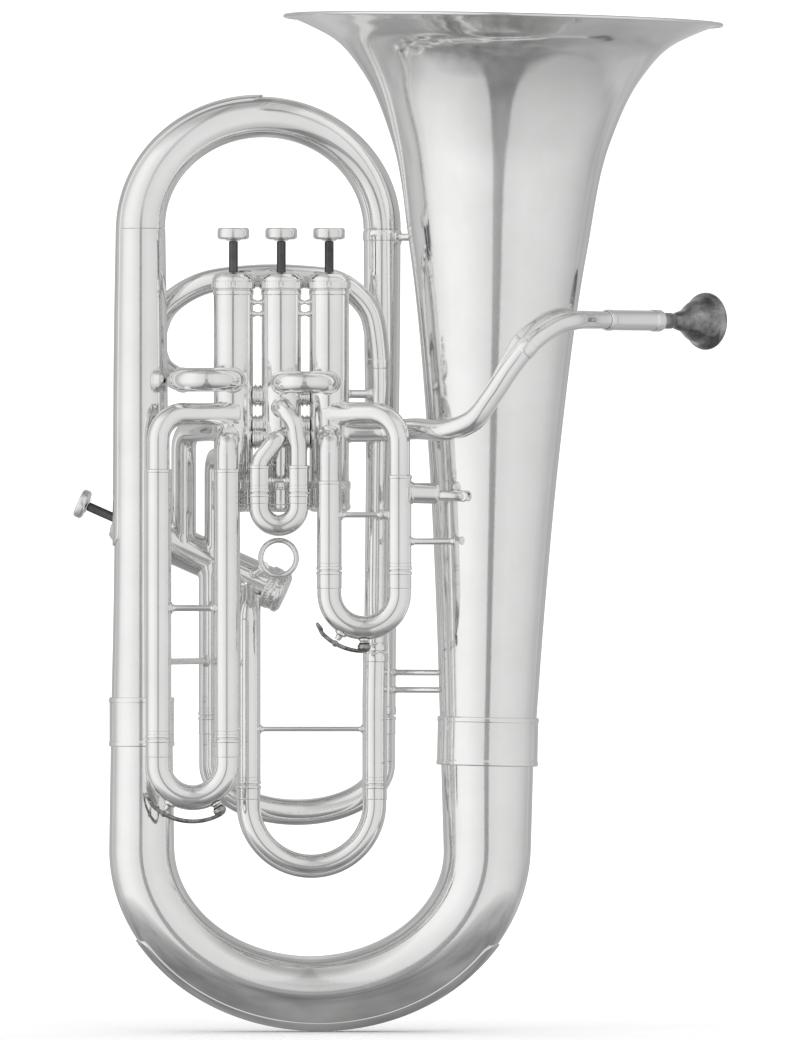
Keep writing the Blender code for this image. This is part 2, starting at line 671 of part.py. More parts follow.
def make_slide_3(frames):
    spec = SLIDES["slide_3"]
    left, right = spec["legs"]
    y, joint, radius = spec["y"][0], spec["joint"], spec["radius"]
    long_leg = bent((left, y, joint), (left, y, 427.0, 18.0), (-62.5, -25.5, 427.0))
    short_leg = bent((right, y, joint), (right, y, 410.6, 11.0), (right, -25.5, 410.6))
    outer = sleeve_tube("slide_3_frame", long_leg, spec, 186.0)
    inner = sleeve_tube("leg", short_leg, spec, 186.0)
    strut = strut_between(left, right, y, 293.0, 2.2, radius, radius)
    start = Vector((left, y, 256.0))
    goal = Vector((SLIDES["main_slide"]["legs"][0], SLIDES["main_slide"]["y"][0], 256.0))
    ray = (goal - start).normalized()
    short_of_goal = goal - ray * (SLIDES["main_slide"]["radius"] + 2 * GAP)
    reach = rod("reach", start + ray * (radius - 0.5), short_of_goal, 2.2)
    fit_to_valve(outer, frames["valve_3"])
    fit_to_valve(inner, frames["valve_3"])
    union(outer, inner, strut, reach)


def make_slide_4(frames):
    spec = SLIDES["slide_4"]
    left, right = spec["legs"]
    y, joint, radius = spec["y"][0], spec["joint"], spec["radius"]
    inner = plain_tube("slide_4_frame", bent((left, y, joint), (left, y, 289.0, 14.0), (left, 27.0, 309.0)),
                       radius, SLEEVE_WALL)
    outer = plain_tube("leg", bent((right, y, joint), (right, y, 230.0, 400.0), (42.2, 8.2, 262.0)),
                       radius, SLEEVE_WALL)
    fit_to_valve(inner, frames["valve_4"])
    union(inner, outer, strut_between(left, right, y, 209.0, 1.7, radius, radius))


def make_main_slide(frames):
    spec = SLIDES["main_slide"]
    sleeve = plain_tube("main_slide_sleeve", vertical(spec["legs"][0], spec["y"][0], spec["joint"], 327.0),
                        spec["radius"], SLEEVE_WALL)
    fit_to_valve(sleeve, frames["valve_4"])


# Water keys ----------------------------------------------------------------------------------

KEY_LIFT = 7.4                  # distance of the key's arm above the bow's outside


def polar(centre, distance, degrees):
    angle = math.radians(degrees)
    return centre + Vector((math.cos(angle), 0.0, math.sin(angle))) * distance


def make_water_key(slide, crook, spec, touch, pivot, pad):
    """A sprung lever under a bow: touch on the left, pivot post, cork pad over the drain hole."""
    (left, right), y = spec["legs"], spec["y"][0]
    centre = Vector(((left + right) / 2, y, spec["bow"]))
    skin = spec["drop"] + spec["radius"]
    arm = skin + KEY_LIFT
    post = rod("post", polar(centre, skin - 1.6, pivot), polar(centre, arm - 2.2 - GAP, pivot), 1.8)
    drain = rod("drain", polar(centre, skin - 1.6, pad), polar(centre, skin + 1.4, pad), 3.0)
    union(crook, post, drain)
    drain_low, drain_high = polar(centre, spec["drop"], pad), polar(centre, skin + 4.0, pad)
    drain_hole = rod("drain_hole", drain_low, drain_high, 1.5, sides=6)
    boolean(crook, drain_hole, "DIFFERENCE")

    steps = 6
    path = []
    for k in range(steps + 1):
        angle = touch + (pad - touch) * k / steps
        heading = polar(Vector(), 1.0, angle + 90.0)
        path.append((polar(centre, arm - (1.2 if k == 0 else 0.0), angle), heading))
    key = bar_along(f"{slide}_water_key", path, 1.25)
    hinge = polar(centre, arm, pivot)
    barrel = rod("barrel", hinge - Y_AXIS * 4.2, hinge + Y_AXIS * 4.2, 2.2)
    cup = rod("cup", polar(centre, skin + 1.4 + GAP, pad), polar(centre, arm + 1.0, pad), 4.6, sides=10)
    paddle = rod("paddle", polar(centre, arm - 2.6, touch), polar(centre, arm + 0.2, touch), 3.6, sides=10)
    union(key, barrel, cup, paddle)
    set_origin(key, hinge)


def make_slides(frames):
    crooks = {name: make_crook(f"{name}_crook", spec) for name, spec in SLIDES.items()}
    make_slide_1(frames)
    make_slide_2(frames)
    make_slide_3(frames)
    make_slide_4(frames)
    make_main_slide(frames)
    make_water_key("slide_1", crooks["slide_1"], SLIDES["slide_1"], -143.0, -120.0, -90.0)
    make_water_key("slide_3", crooks["slide_3"], SLIDES["slide_3"], -143.0, -120.0, -60.0)
    for name, spec in SLIDES.items():
        left, right = spec["legs"]
        y = sum(spec["y"]) / 2
        set_origin(crooks[name], ((left + right) / 2, y, spec["joint"]))


# Fixed tubing between the valves ---------------------------------------------------------------

def make_links(frames):
    arch = plain_tube("arch_tube", flowing(ARCH_ROUTE, 1), 8.0)
    height = ARCH_ROUTE[-1][2]
    left_route = bent((-91.0, 4.4, height), (-91.0, -44.5, height, 17.0), (-56.6, -44.5, height, 17.0),
                      (-56.6, -25.0, height))
    left_bend = plain_tube("left_front_bend", left_route, 8.3)
    fit_to_valve(left_bend, frames["valve_3"])
    right_route = bent((-22.0, -25.0, 448.8), (-22.0, -46.0, 448.8, 15.0), (9.7, -46.0, 448.8, 15.0),
                       (9.7, -25.0, 448.8))
    right_bend = plain_tube("right_front_bend", right_route, 7.6)
    fit_to_valve(right_bend, frames["valve_1"])
    fit_to_valve(right_bend, frames["valve_2"])
    for tube in (left_bend, right_bend):
        union(tube)
    brace = rod("brace", (10.2 + 8.0, -3.0, 441.0), (39.5, 6.0, 441.0), 3.0)
    fit_to_valve(brace, frames["valve_1"])
    union(arch, brace)

    long_route = bent((-90.9, 28.0, 337.0), (-90.9, 28.0, 417.0, 14.0), (-64.0, -10.0, 417.0))
    short_route = bent((-69.5, 25.0, 328.0), (-69.5, 25.0, 398.0, 11.0), (-60.0, -9.0, 398.0))
    long_link = plain_tube("long_link_tube", long_route, 8.6)
    short_link = plain_tube("short_link_tube", short_route, 7.0)
    for tube in (long_link, short_link):
        fit_to_valve(tube, frames["valve_4"])
        union(fit_to_valve(tube, frames["valve_3"]))

    for valve, (x, high, low) in REAR_LOOPS.items():
        route = bent((x, -5.0, high), (x, REAR_LOOP_DEPTH, high, 12.0), (x, REAR_LOOP_DEPTH, low, 12.0),
                     (x, -5.0, low))
        loop = plain_tube(f"{valve}_rear_loop", route, 6.4, sides=8)
        union(fit_to_valve(loop, frames[valve]))


def make_thumb_ring(frames):
    centre = Vector((-24.8, -11.0, 327.5))
    count, major, wire = 14, 12.3, 1.9
    bm = bmesh.new()
    rings = []
    for k in range(count):
        angle = math.tau * k / count
        ray = Vector((math.cos(angle), 0.0, math.sin(angle)))
        ring = ring_verts(bm, centre + ray * major, Y_AXIS.cross(ray), ray, wire, 6)
        rings.append(ring)
    for k in range(count):
        bridge(bm, rings[k], rings[(k + 1) % count])
    ring = finish_mesh("thumb_ring", bm, SILVER)
    foot = rod("foot", (-35.2, -11.0, 321.4), (-42.5, 18.5, 316.5), 2.4)
    fit_to_valve(foot, frames["valve_4"])
    union(ring, foot)


# Mouthpipe -----------------------------------------------------------------------------------

def make_mouthpipe(frames):
    samples = flowing(LEADPIPE_ROUTE, 1)
    length = marks_of(samples)[-1]
    pipe = hollow("leadpipe", samples, ((0.0, 7.6, 6.8), (length * 0.62, 7.0, 6.2), (length, 6.0, 5.2)))
    brace = rod("brace", (168.0, -41.5, 488.5), bell_side(489.0, 40.0, -40.0), 3.0)
    union(pipe, brace)
    fit_to_valve(pipe, frames["valve_1"])
    union(pipe)

    receiver = ((6.6, -RECEIVER_LENGTH), (7.1, -RECEIVER_LENGTH), (7.1, -8.0), (7.6, -6.0), (7.6, -1.0),
                (7.2, 0.0), (6.0, 0.0), (6.0, -24.0), (6.6, -34.0))
    turned("mouthpiece_receiver", receiver, RECEIVER_END, MOUTH_AXIS, sides=12)
    shank = ((4.9, -22.0), (5.65, 1.0), (5.65, 10.0), (5.1, 12.5))
    cup_outside = ((6.2, 17.0), (8.2, 24.0), (13.8, 33.5), (17.2, 41.0), (20.0, 45.0))
    rim = ((20.0, 46.8), (17.2, 48.2), (13.6, 47.2), (12.8, 44.5))
    cup_inside = ((10.6, 34.0), (3.4, 22.0), (3.4, 14.0), (4.1, -22.0))
    cup = turned("mouthpiece", shank + cup_outside + rim + cup_inside, RECEIVER_END, MOUTH_AXIS, sides=16,
                 look=MOUTHPIECE_SILVER)
    set_origin(cup, RECEIVER_END)


def main():
    clear_scene()
    frames = valve_frames()
    make_bell()
    make_bottom_bow()
    make_branches()
    make_valves(frames)
    make_slides(frames)
    make_links(frames)
    make_thumb_ring(frames)
    make_mouthpipe(frames)


main()
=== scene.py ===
"""Looks of the compensating euphonium: fine silver-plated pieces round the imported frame.

Sizes are in millimetres along the frame's axes: X right, Y away from the front, Z up. The origin is
the lowest point of the bottom bow.
"""
import json
import math

import bmesh
import bpy
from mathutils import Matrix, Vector


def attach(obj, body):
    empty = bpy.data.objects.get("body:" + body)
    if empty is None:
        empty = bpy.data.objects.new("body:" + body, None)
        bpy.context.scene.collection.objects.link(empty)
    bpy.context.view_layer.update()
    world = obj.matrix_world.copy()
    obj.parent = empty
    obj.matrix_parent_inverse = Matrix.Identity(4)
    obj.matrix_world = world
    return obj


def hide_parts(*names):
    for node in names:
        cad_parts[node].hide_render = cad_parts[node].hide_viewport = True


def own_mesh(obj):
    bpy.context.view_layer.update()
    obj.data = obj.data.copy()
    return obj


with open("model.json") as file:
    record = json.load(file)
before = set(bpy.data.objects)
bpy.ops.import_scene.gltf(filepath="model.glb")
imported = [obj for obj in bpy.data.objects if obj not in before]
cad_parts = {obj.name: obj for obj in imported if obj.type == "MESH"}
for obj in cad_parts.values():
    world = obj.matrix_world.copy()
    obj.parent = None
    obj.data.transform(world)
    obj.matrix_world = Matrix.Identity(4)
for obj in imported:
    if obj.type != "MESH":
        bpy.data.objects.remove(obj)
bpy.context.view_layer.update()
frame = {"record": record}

MM = 0.001
X_AXIS = Vector((1.0, 0.0, 0.0))
Y_AXIS = Vector((0.0, 1.0, 0.0))
Z_AXIS = Vector((0.0, 0.0, 1.0))

WALL = 0.8                      # brass wall of the tubing
SLEEVE_WALL = 1.0
FIT = 0.35                      # radial clearance of a tube that slides in another
GAP = 0.3                       # clearance between pieces that touch

BELL_FOOT = Vector((119.86, 0.0, 200.3))
BELL_AXIS = Vector((math.sin(math.radians(1.25)), 0.0, math.cos(math.radians(1.25))))
BELL_LENGTH = 499.8
BELL_OUTLINE = (                # distance below the rim, outer radius
    (0.0, 150.6), (6.5, 134.5), (17.0, 115.0), (39.0, 96.0), (83.0, 76.0), (159.0, 61.5),
    (297.0, 45.6), (401.0, 38.0), (BELL_LENGTH, 32.7),
)
BELL_WALL = 0.9
BELL_RIM_EDGE = 149.0           # the rolled rim outside this radius keeps the outside's polish
RIM_WIRE = 1.35

BOW_HALF_SPAN = 119.6
BOW_CENTRE_Z = 127.0
BOW_DROP = 100.4
BOW_TOP_LEFT = 213.9
BOW_TOP_RIGHT = 199.2
BOW_RADIUS = (21.2, 25.35, 32.35)
BRANCH_X = -119.8
BRANCH_OUTLINE = ((214.2, 21.1), (298.0, 19.3), (485.0, 17.8), (555.4, 16.6))
TOP_BOW_Z = 555.7
TOP_BOW_RISE = 77.5
TOP_BOW_RADIUS = (16.5, 14.25, 13.0)
RIGHT_X = 46.8
RIGHT_Y = 32.0
RIGHT_OUTLINE = ((555.4, 12.9), (485.0, 12.5), (300.0, 9.9), (218.3, 9.3))
GUARD_HALF_ANGLE = math.radians(36.0)
GUARD_THICKNESS = 1.0

# Valves: heights are measured along the valve's own axis from the bottom cap's lower face.
VALVE_PITCH = 33.1
VALVE_Y = -15.0
VALVE_1_X = 10.2
VALVE_BASE_Z = 359.3
CASING_RADIUS = 13.65
CASING_BORE = 12.2
CAP_RADIUS = 14.9
TOP_CAP_RADIUS = 15.2
CAP_FLUTES = 48
PISTON_RADIUS = CASING_BORE - FIT
STEM_RADIUS = 3.15
CASING_BARS = (                 # height, radius, foot's share of the radius
    (137.0, 1.3, 1.7), (145.0, 1.3, 1.7), (80.5, 6.6, 1.01), (60.0, 6.2, 1.01), (50.5, 6.2, 1.01),
)
SIDE_VALVE_BASE = Vector((-20.3, 27.5, 302.6))
SIDE_VALVE_AXIS = Vector((-140.4, 8.4, 62.2)).normalized()
TOP_SPEC = {"cap": 21.7, "casing": 161.0, "lid": 154.2, "lid_top": 165.6, "button": 187.6,
            "button_radius": 11.05, "button_height": 9.0, "piston": 88.0}
SIDE_SPEC = {"cap": 14.5, "casing": 126.3, "lid": 119.5, "lid_top": 129.8, "button": 150.2,
             "button_radius": 10.25, "button_height": 7.3, "piston": 64.0}

SLIDES = {
    "slide_1": {"legs": (10.4, 58.5), "y": (-40.0, -40.0), "joint": 318.9, "bow": 303.3,
                "drop": 24.05, "radius": 8.6, "overlap": 42.0},
    "slide_2": {"legs": (-37.8, -11.1), "y": (-40.0, -40.0), "joint": 372.6, "bow": 363.4,
                "drop": 13.35, "radius": 7.65, "overlap": 14.0},
    "slide_3": {"legs": (-107.5, -60.1), "y": (-40.0, -40.0), "joint": 203.0, "bow": 185.9,
                "drop": 23.7, "radius": 9.0, "overlap": 80.0},
    "slide_4": {"legs": (-45.9, 41.6), "y": (8.0, 8.0), "joint": 170.5, "bow": 157.6,
                "drop": 43.7, "radius": 8.5, "overlap": 60.0},
    "main_slide": {"legs": (-71.2, RIGHT_X), "y": (27.0, RIGHT_Y), "joint": 218.0, "bow": 184.0,
                   "drop": 33.0, "radius": 9.3, "overlap": 55.0},
}
KNUCKLE_RADIUS = 7.75
KEY_LIFT = 7.4

LEADPIPE_ROUTE = (
    (19.0, -15.0, 415.0), (48.0, -16.0, 415.3), (70.0, -24.5, 416.8), (92.0, -46.0, 416.0),
    (110.0, -56.5, 423.5), (123.0, -59.0, 440.0), (135.0, -60.0, 458.0), (149.0, -58.5, 475.0),
    (166.0, -48.8, 487.5), (180.5, -36.5, 491.6), (189.5, -15.5, 492.2), (197.5, -5.2, 492.2),
    (206.5, 3.8, 492.2),
)
RECEIVER_END = Vector((239.7, 37.0, 492.2))
MOUTH_AXIS = Vector((1.0, 1.0, 0.0)).normalized()
RECEIVER_LENGTH = 53.7

ARCH_ROUTE = (
    (42.2, 8.2, 262.4), (43.4, 9.2, 380.0), (44.2, 10.0, 462.0), (39.0, 10.4, 497.0),
    (18.0, 10.8, 517.5), (-12.0, 11.0, 522.6), (-46.0, 11.0, 522.5), (-78.0, 14.0, 517.5),
    (-101.9, 21.5, 502.5), (-111.0, 27.0, 480.0), (-107.0, 26.5, 461.0), (-96.0, 20.5, 452.2),
    (-91.0, 11.0, 450.6), (-91.0, 5.0, 450.6),
)

REAR_LOOPS = (                  # valve, x, upper height, lower height
    ("valve_1", 10.2, 470.0, 402.0), ("valve_2", -22.9, 466.0, 436.0), ("valve_3", -52.0, 484.0, 434.5),
)
REAR_LOOP_Y = 22.0

FINE_BEND = math.radians(6.0)
SHARP_EDGE = math.radians(38.0)  # edges that turn more than this stay sharp when shaded
TUBE_SIDES = 40
BODY_OF = {node: body for body, nodes in frame["record"]["behaviour"]["bodies"].items() for node in nodes}


# Materials -----------------------------------------------------------------------------------

class Nodes:
    """A short way to write a shader's node tree."""

    def __init__(self, tree):
        self.tree = tree

    def add(self, kind, links=(), **values):
        made = self.tree.nodes.new(kind)
        for key, value in values.items():
            setattr(made, key, value)
        for socket, source in dict(links).items():
            if isinstance(source, bpy.types.NodeSocket):
                self.tree.links.new(source, made.inputs[socket])
            else:
                made.inputs[socket].default_value = source
        return made

    def noise(self, place, scale, detail=3.0, roughness=0.5):
        made = self.add("ShaderNodeTexNoise", {"Vector": place, "Scale": scale, "Detail": detail,
                                               "Roughness": roughness})
        return made.outputs["Fac"]

    def spread(self, value, low, high, start=0.3, end=0.7):
        """Map a texture's usual range onto low..high."""
        made = self.add("ShaderNodeMapRange", {"Value": value, "From Min": start, "From Max": end,
                                               "To Min": low, "To Max": high})
        return made.outputs["Result"]

    def sum(self, first, second, operation="ADD"):
        return self.add("ShaderNodeMath", {0: first, 1: second}, operation=operation).outputs[0]

    def mix(self, factor, dark, light):
        made = self.add("ShaderNodeMix", data_type="RGBA")
        self.tree.links.new(factor, made.inputs[0])
        made.inputs[6].default_value = (*dark, 1.0)
        made.inputs[7].default_value = (*light, 1.0)
        return made.outputs[2]

    def blend(self, factor, first, second):
        return self.add("ShaderNodeMix", {0: factor, 2: first, 3: second}, data_type="FLOAT").outputs[0]

    def stretched(self, place, scale, turn):
        made = self.add("ShaderNodeMapping", {"Vector": place, "Rotation": turn, "Scale": scale})
        return made.outputs["Vector"]


def start_material(name):
    made = bpy.data.materials.new(name)
    made.use_nodes = True
    return made, Nodes(made.node_tree), made.node_tree.nodes["Principled BSDF"]


# Fine polishing scratches run two ways: the noise's scale on each axis, and its turn in radians.
SCRATCHES = (((2600.0, 2600.0, 90.0), (0.3, 0.1, 0.0)), ((90.0, 2200.0, 2600.0), (0.0, 0.4, 0.5)))


def metal(name, dark, light, roughness, haze=0.05, scratch=0.000006, wave=0.00012, patch=26.0):
    """Polished metal: thin tarnish, hazy patches, fine polishing scratches and a slightly wavy surface."""
    made, nodes, shader = start_material(name)
    place = nodes.add("ShaderNodeTexCoord").outputs["Object"]
    tarnish = nodes.noise(place, patch, 4.0, 0.6)
    specks = nodes.noise(place, 900.0, 2.0, 0.5)
    blend = nodes.sum(nodes.spread(tarnish, 0.0, 0.85), nodes.spread(specks, 0.0, 0.15))
    nodes.tree.links.new(nodes.mix(blend, light, dark), shader.inputs["Base Color"])

    lines = [nodes.noise(nodes.stretched(place, scale, turn), 1.0, 2.0, 0.7) for scale, turn in SCRATCHES]
    fine = nodes.sum(nodes.spread(lines[0], 0.0, 1.0, 0.52, 0.78),
                     nodes.spread(lines[1], 0.0, 1.0, 0.54, 0.8), "MAXIMUM")
    clouds = nodes.spread(nodes.noise(place, 60.0, 5.0, 0.65), roughness - haze * 0.4, roughness + haze)
    scratched = nodes.sum(fine, haze * 0.9, "MULTIPLY")
    nodes.tree.links.new(nodes.sum(clouds, scratched), shader.inputs["Roughness"])
    shader.inputs["Metallic"].default_value = 1.0

    ripple = nodes.noise(place, 34.0, 1.0, 0.3)
    soft = nodes.add("ShaderNodeBump", {"Height": ripple, "Strength": 1.0, "Distance": wave})
    cut = nodes.add("ShaderNodeBump", {"Height": fine, "Strength": 1.0, "Distance": scratch,
                                       "Normal": soft.outputs["Normal"]}, invert=True)
    nodes.tree.links.new(cut.outputs["Normal"], shader.inputs["Normal"])
    return made


def dull_below(look, start, end, metal_loss=0.55, haze=0.4):
    """The plating loses its polish from one height (m) down to another, as inside a bell's throat."""
    nodes, shader = Nodes(look.node_tree), look.node_tree.nodes["Principled BSDF"]
    place = nodes.add("ShaderNodeTexCoord").outputs["Object"]
    height = nodes.add("ShaderNodeSeparateXYZ", {0: place}).outputs[2]
    share = nodes.spread(height, 1.0, 0.0, end, start)
    worn = nodes.sum(share, -metal_loss, "MULTIPLY")
    nodes.tree.links.new(nodes.sum(worn, 1.0), shader.inputs["Metallic"])
    polish = shader.inputs["Roughness"].links[0].from_socket
    nodes.tree.links.new(nodes.sum(polish, nodes.sum(share, haze, "MULTIPLY")), shader.inputs["Roughness"])
    return look


def fibre(name, dark, light, grain):
    """Cork: a matt, grainy solid."""
    made, nodes, shader = start_material(name)
    place = nodes.add("ShaderNodeTexCoord").outputs["Object"]
    coarse = nodes.noise(place, grain, 4.0, 0.7)
    grain_mix = nodes.mix(nodes.spread(coarse, 0.0, 1.0), dark, light)
    nodes.tree.links.new(grain_mix, shader.inputs["Base Color"])
    shader.inputs["Roughness"].default_value = 0.9
    bump = nodes.add("ShaderNodeBump", {"Height": coarse, "Strength": 0.7, "Distance": 0.0002})
    nodes.tree.links.new(bump.outputs["Normal"], shader.inputs["Normal"])
    return made


PLATE = ((0.875, 0.875, 0.868), (0.95, 0.95, 0.945), 0.028, 0.03)
SILVER = metal("silver_plate_polished", *PLATE)
BELL_INSIDE = dull_below(metal("bell_throat_plate", *PLATE), 0.69, 0.6)
GUARD = metal("guard_plate_polished", (0.84, 0.84, 0.83), (0.92, 0.92, 0.915), 0.06, 0.06)
BUTTON = metal("button_silver", (0.82, 0.82, 0.81), (0.93, 0.93, 0.925), 0.12, 0.08)
# The near-black colour of the valve stems and pistons is a painted reflection: silver-plated stems darkened
# to match the tent's dark side that they mirror.
STEM = metal("stem_painted_dark_reflection", (0.03, 0.03, 0.031), (0.17, 0.17, 0.175), 0.24, 0.1, 0.00003)
SPRING = metal("spring_wire", (0.34, 0.34, 0.35), (0.5, 0.5, 0.52), 0.3, 0.1)
# The mouthpiece's silver is dark to mid grey, in patches.
MOUTH = metal("mouthpiece_silver_dark", (0.11, 0.11, 0.115), (0.55, 0.55, 0.56), 0.05, 0.06, patch=70.0)
# The water keys' dark, blotchy silver is painted shade, standing in for the shading on their touch pieces
# under the bows.
KEY_METAL = metal("key_silver_painted_shade", (0.07, 0.07, 0.07), (0.62, 0.62, 0.61), 0.08, 0.08, patch=210.0)
CORK = fibre("dark_cork", (0.035, 0.022, 0.012), (0.12, 0.075, 0.04), 900.0)


# Centrelines ---------------------------------------------------------------------------------

def bent(*corners, step=FINE_BEND):
    """Straight runs with round corners; an inner corner is (x, y, z, bend radius)."""
    points = [Vector(corner[:3]) for corner in corners]
    samples = [(points[0], (points[1] - points[0]).normalized())]
    for index in range(1, len(points) - 1):
        along = (points[index] - points[index - 1]).normalized()
        onward = (points[index + 1] - points[index]).normalized()
        turn = along.angle(onward)
        radius = corners[index][3]
        inward = (onward - along * along.dot(onward)).normalized()
        centre = points[index] - along * radius * math.tan(turn / 2) + inward * radius
        count = max(1, math.ceil(turn / step))
        for number in range(count + 1):
            angle = turn * number / count
            place = centre - inward * radius * math.cos(angle) + along * radius * math.sin(angle)
            samples.append((place, along * math.cos(angle) + inward * math.sin(angle)))
    samples.append((points[-1], (points[-1] - points[-2]).normalized()))
    return samples


def half_ellipse(left, right, depth, count=48):
    """A bow from one foot to the other; depth is negative for a bow that hangs down."""
    left, right = Vector(left), Vector(right)
    centre = (left + right) / 2
    side = (left - right) / 2
    samples = []
    for number in range(count + 1):
        angle = math.pi * number / count
        place = centre + side * math.cos(angle) + Z_AXIS * depth * math.sin(angle)
        heading = -side * math.sin(angle) + Z_AXIS * depth * math.cos(angle)
        samples.append((place, heading.normalized()))
    return samples


def flowing(route, per_span=9):
    """A smooth curve through the route's points."""
    points = [Vector(point) for point in route]
    slopes = [points[1] - points[0]]
    slopes += [(points[i + 1] - points[i - 1]) / 2 for i in range(1, len(points) - 1)]
    slopes.append(points[-1] - points[-2])
    samples = []
    for index in range(len(points) - 1):
        a, b = points[index], points[index + 1]
        reach = min(1.0, *((b - a).length / slope.length for slope in slopes[index:index + 2]))
        m, n = slopes[index] * reach, slopes[index + 1] * reach
        for number in range(per_span):
            t = number / per_span
            place = (a * (2 * t**3 - 3 * t**2 + 1) + m * (t**3 - 2 * t**2 + t)
                     + b * (3 * t**2 - 2 * t**3) + n * (t**3 - t**2))
            heading = (a * (6 * t**2 - 6 * t) + m * (3 * t**2 - 4 * t + 1)
                       + b * (6 * t - 6 * t**2) + n * (3 * t**2 - 2 * t))
            samples.append((place, heading.normalized()))
    samples.append((points[-1], slopes[-1].normalized()))
    return samples


def straight(start, end):
    start, end = Vector(start), Vector(end)
    heading = (end - start).normalized()
    return [(start, heading), (end, heading)]


def marks_of(samples):
    """Distance along the centreline at each sample."""
    marks = [0.0]
    for (before, _), (after, _) in zip(samples, samples[1:]):
        marks.append(marks[-1] + (after - before).length)
    return marks


def value_at(stations, distance):
    """Straight-line interpolation in a table of (distance, value, ...) rows."""
    if distance <= stations[0][0]:
        return stations[0][1:]
    for low, high in zip(stations, stations[1:]):
        if distance <= high[0] and high[0] > low[0]:
            share = (distance - low[0]) / (high[0] - low[0])
            return tuple(a + (b - a) * share for a, b in zip(low[1:], high[1:]))
    return stations[-1][1:]


def place_at(samples, marks, distance):
    for index in range(len(samples) - 1):
        if distance <= marks[index + 1]:
            share = (distance - marks[index]) / (marks[index + 1] - marks[index])
            place = samples[index][0].lerp(samples[index + 1][0], share)
            return place, samples[index][1].lerp(samples[index + 1][1], share).normalized()
    return samples[-1]


def frame_normals(headings):
    """Normals carried along a centreline without twist."""
    guide = X_AXIS if abs(headings[0].x) < 0.9 else Z_AXIS
    normal = (guide - headings[0] * guide.dot(headings[0])).normalized()
    normals = [normal]
    for before, after in zip(headings, headings[1:]):
        normal = before.rotation_difference(after) @ normal
        normal = (normal - after * normal.dot(after)).normalized()
        normals.append(normal)
    return normals


def slope_at(step, beside, span, reach):
    """The slope where two steps of a curve meet, scaled to the first step's length."""
    return (step / span * reach + beside / reach * span) / (span + reach) * span


def smooth_curve(points, per_span=8):
    """A soft curve through (a, b) points, for a turned outline."""
    knots = [Vector((a, b, 0.0)) for a, b in points]
    samples = []
    for index in range(len(knots) - 1):
        p0 = knots[max(index - 1, 0)]
        p1, p2 = knots[index], knots[index + 1]
        p3 = knots[min(index + 2, len(knots) - 1)]
        span = (p2 - p1).length
        before = max((p1 - p0).length, 1e-6)
        after = max((p3 - p2).length, 1e-6)
        step = p2 - p1
        m1 = step if index == 0 else slope_at(step, p1 - p0, span, before)
        m2 = step if index == len(knots) - 2 else slope_at(step, p3 - p2, span, after)
        for number in range(per_span):
            t = number / per_span
            samples.append(p1 * (2 * t**3 - 3 * t**2 + 1) + m1 * (t**3 - 2 * t**2 + t)
                           + p2 * (3 * t**2 - 2 * t**3) + m2 * (t**3 - t**2))
    samples.append(knots[-1])
    return [(sample.x, sample.y) for sample in samples]


def softened(outline, reach, steps=3):
    """A closed outline with every corner off the axis rounded within reach."""
    points = [Vector((a, b, 0.0)) for a, b in outline]
    soft = []
    for index, corner in enumerate(points):
        before, after = points[index - 1], points[(index + 1) % len(points)]
        if corner.x == 0.0:
            soft.append((corner.x, corner.y))
            continue
        near = min(reach, (before - corner).length * 0.45)
        far = min(reach, (after - corner).length * 0.45)
        start = corner + (before - corner).normalized() * near
        end = corner + (after - corner).normalized() * far
        for number in range(steps + 1):
            t = number / steps
            mixed = start * (1 - t)**2 + corner * 2 * t * (1 - t) + end * t**2
            soft.append((mixed.x, mixed.y))
    return soft


# Solids --------------------------------------------------------------------------------------

# Solder where a tube meets a casing: how far it swells out and how far it stands off the wall.
SOLDER_FILLET = ((0.0, 2.2), (0.1, 1.2), (0.4, 0.5), (0.9, 0.02))
SOLDER_SINK = 0.5
SOLDER_REACH = 2.6


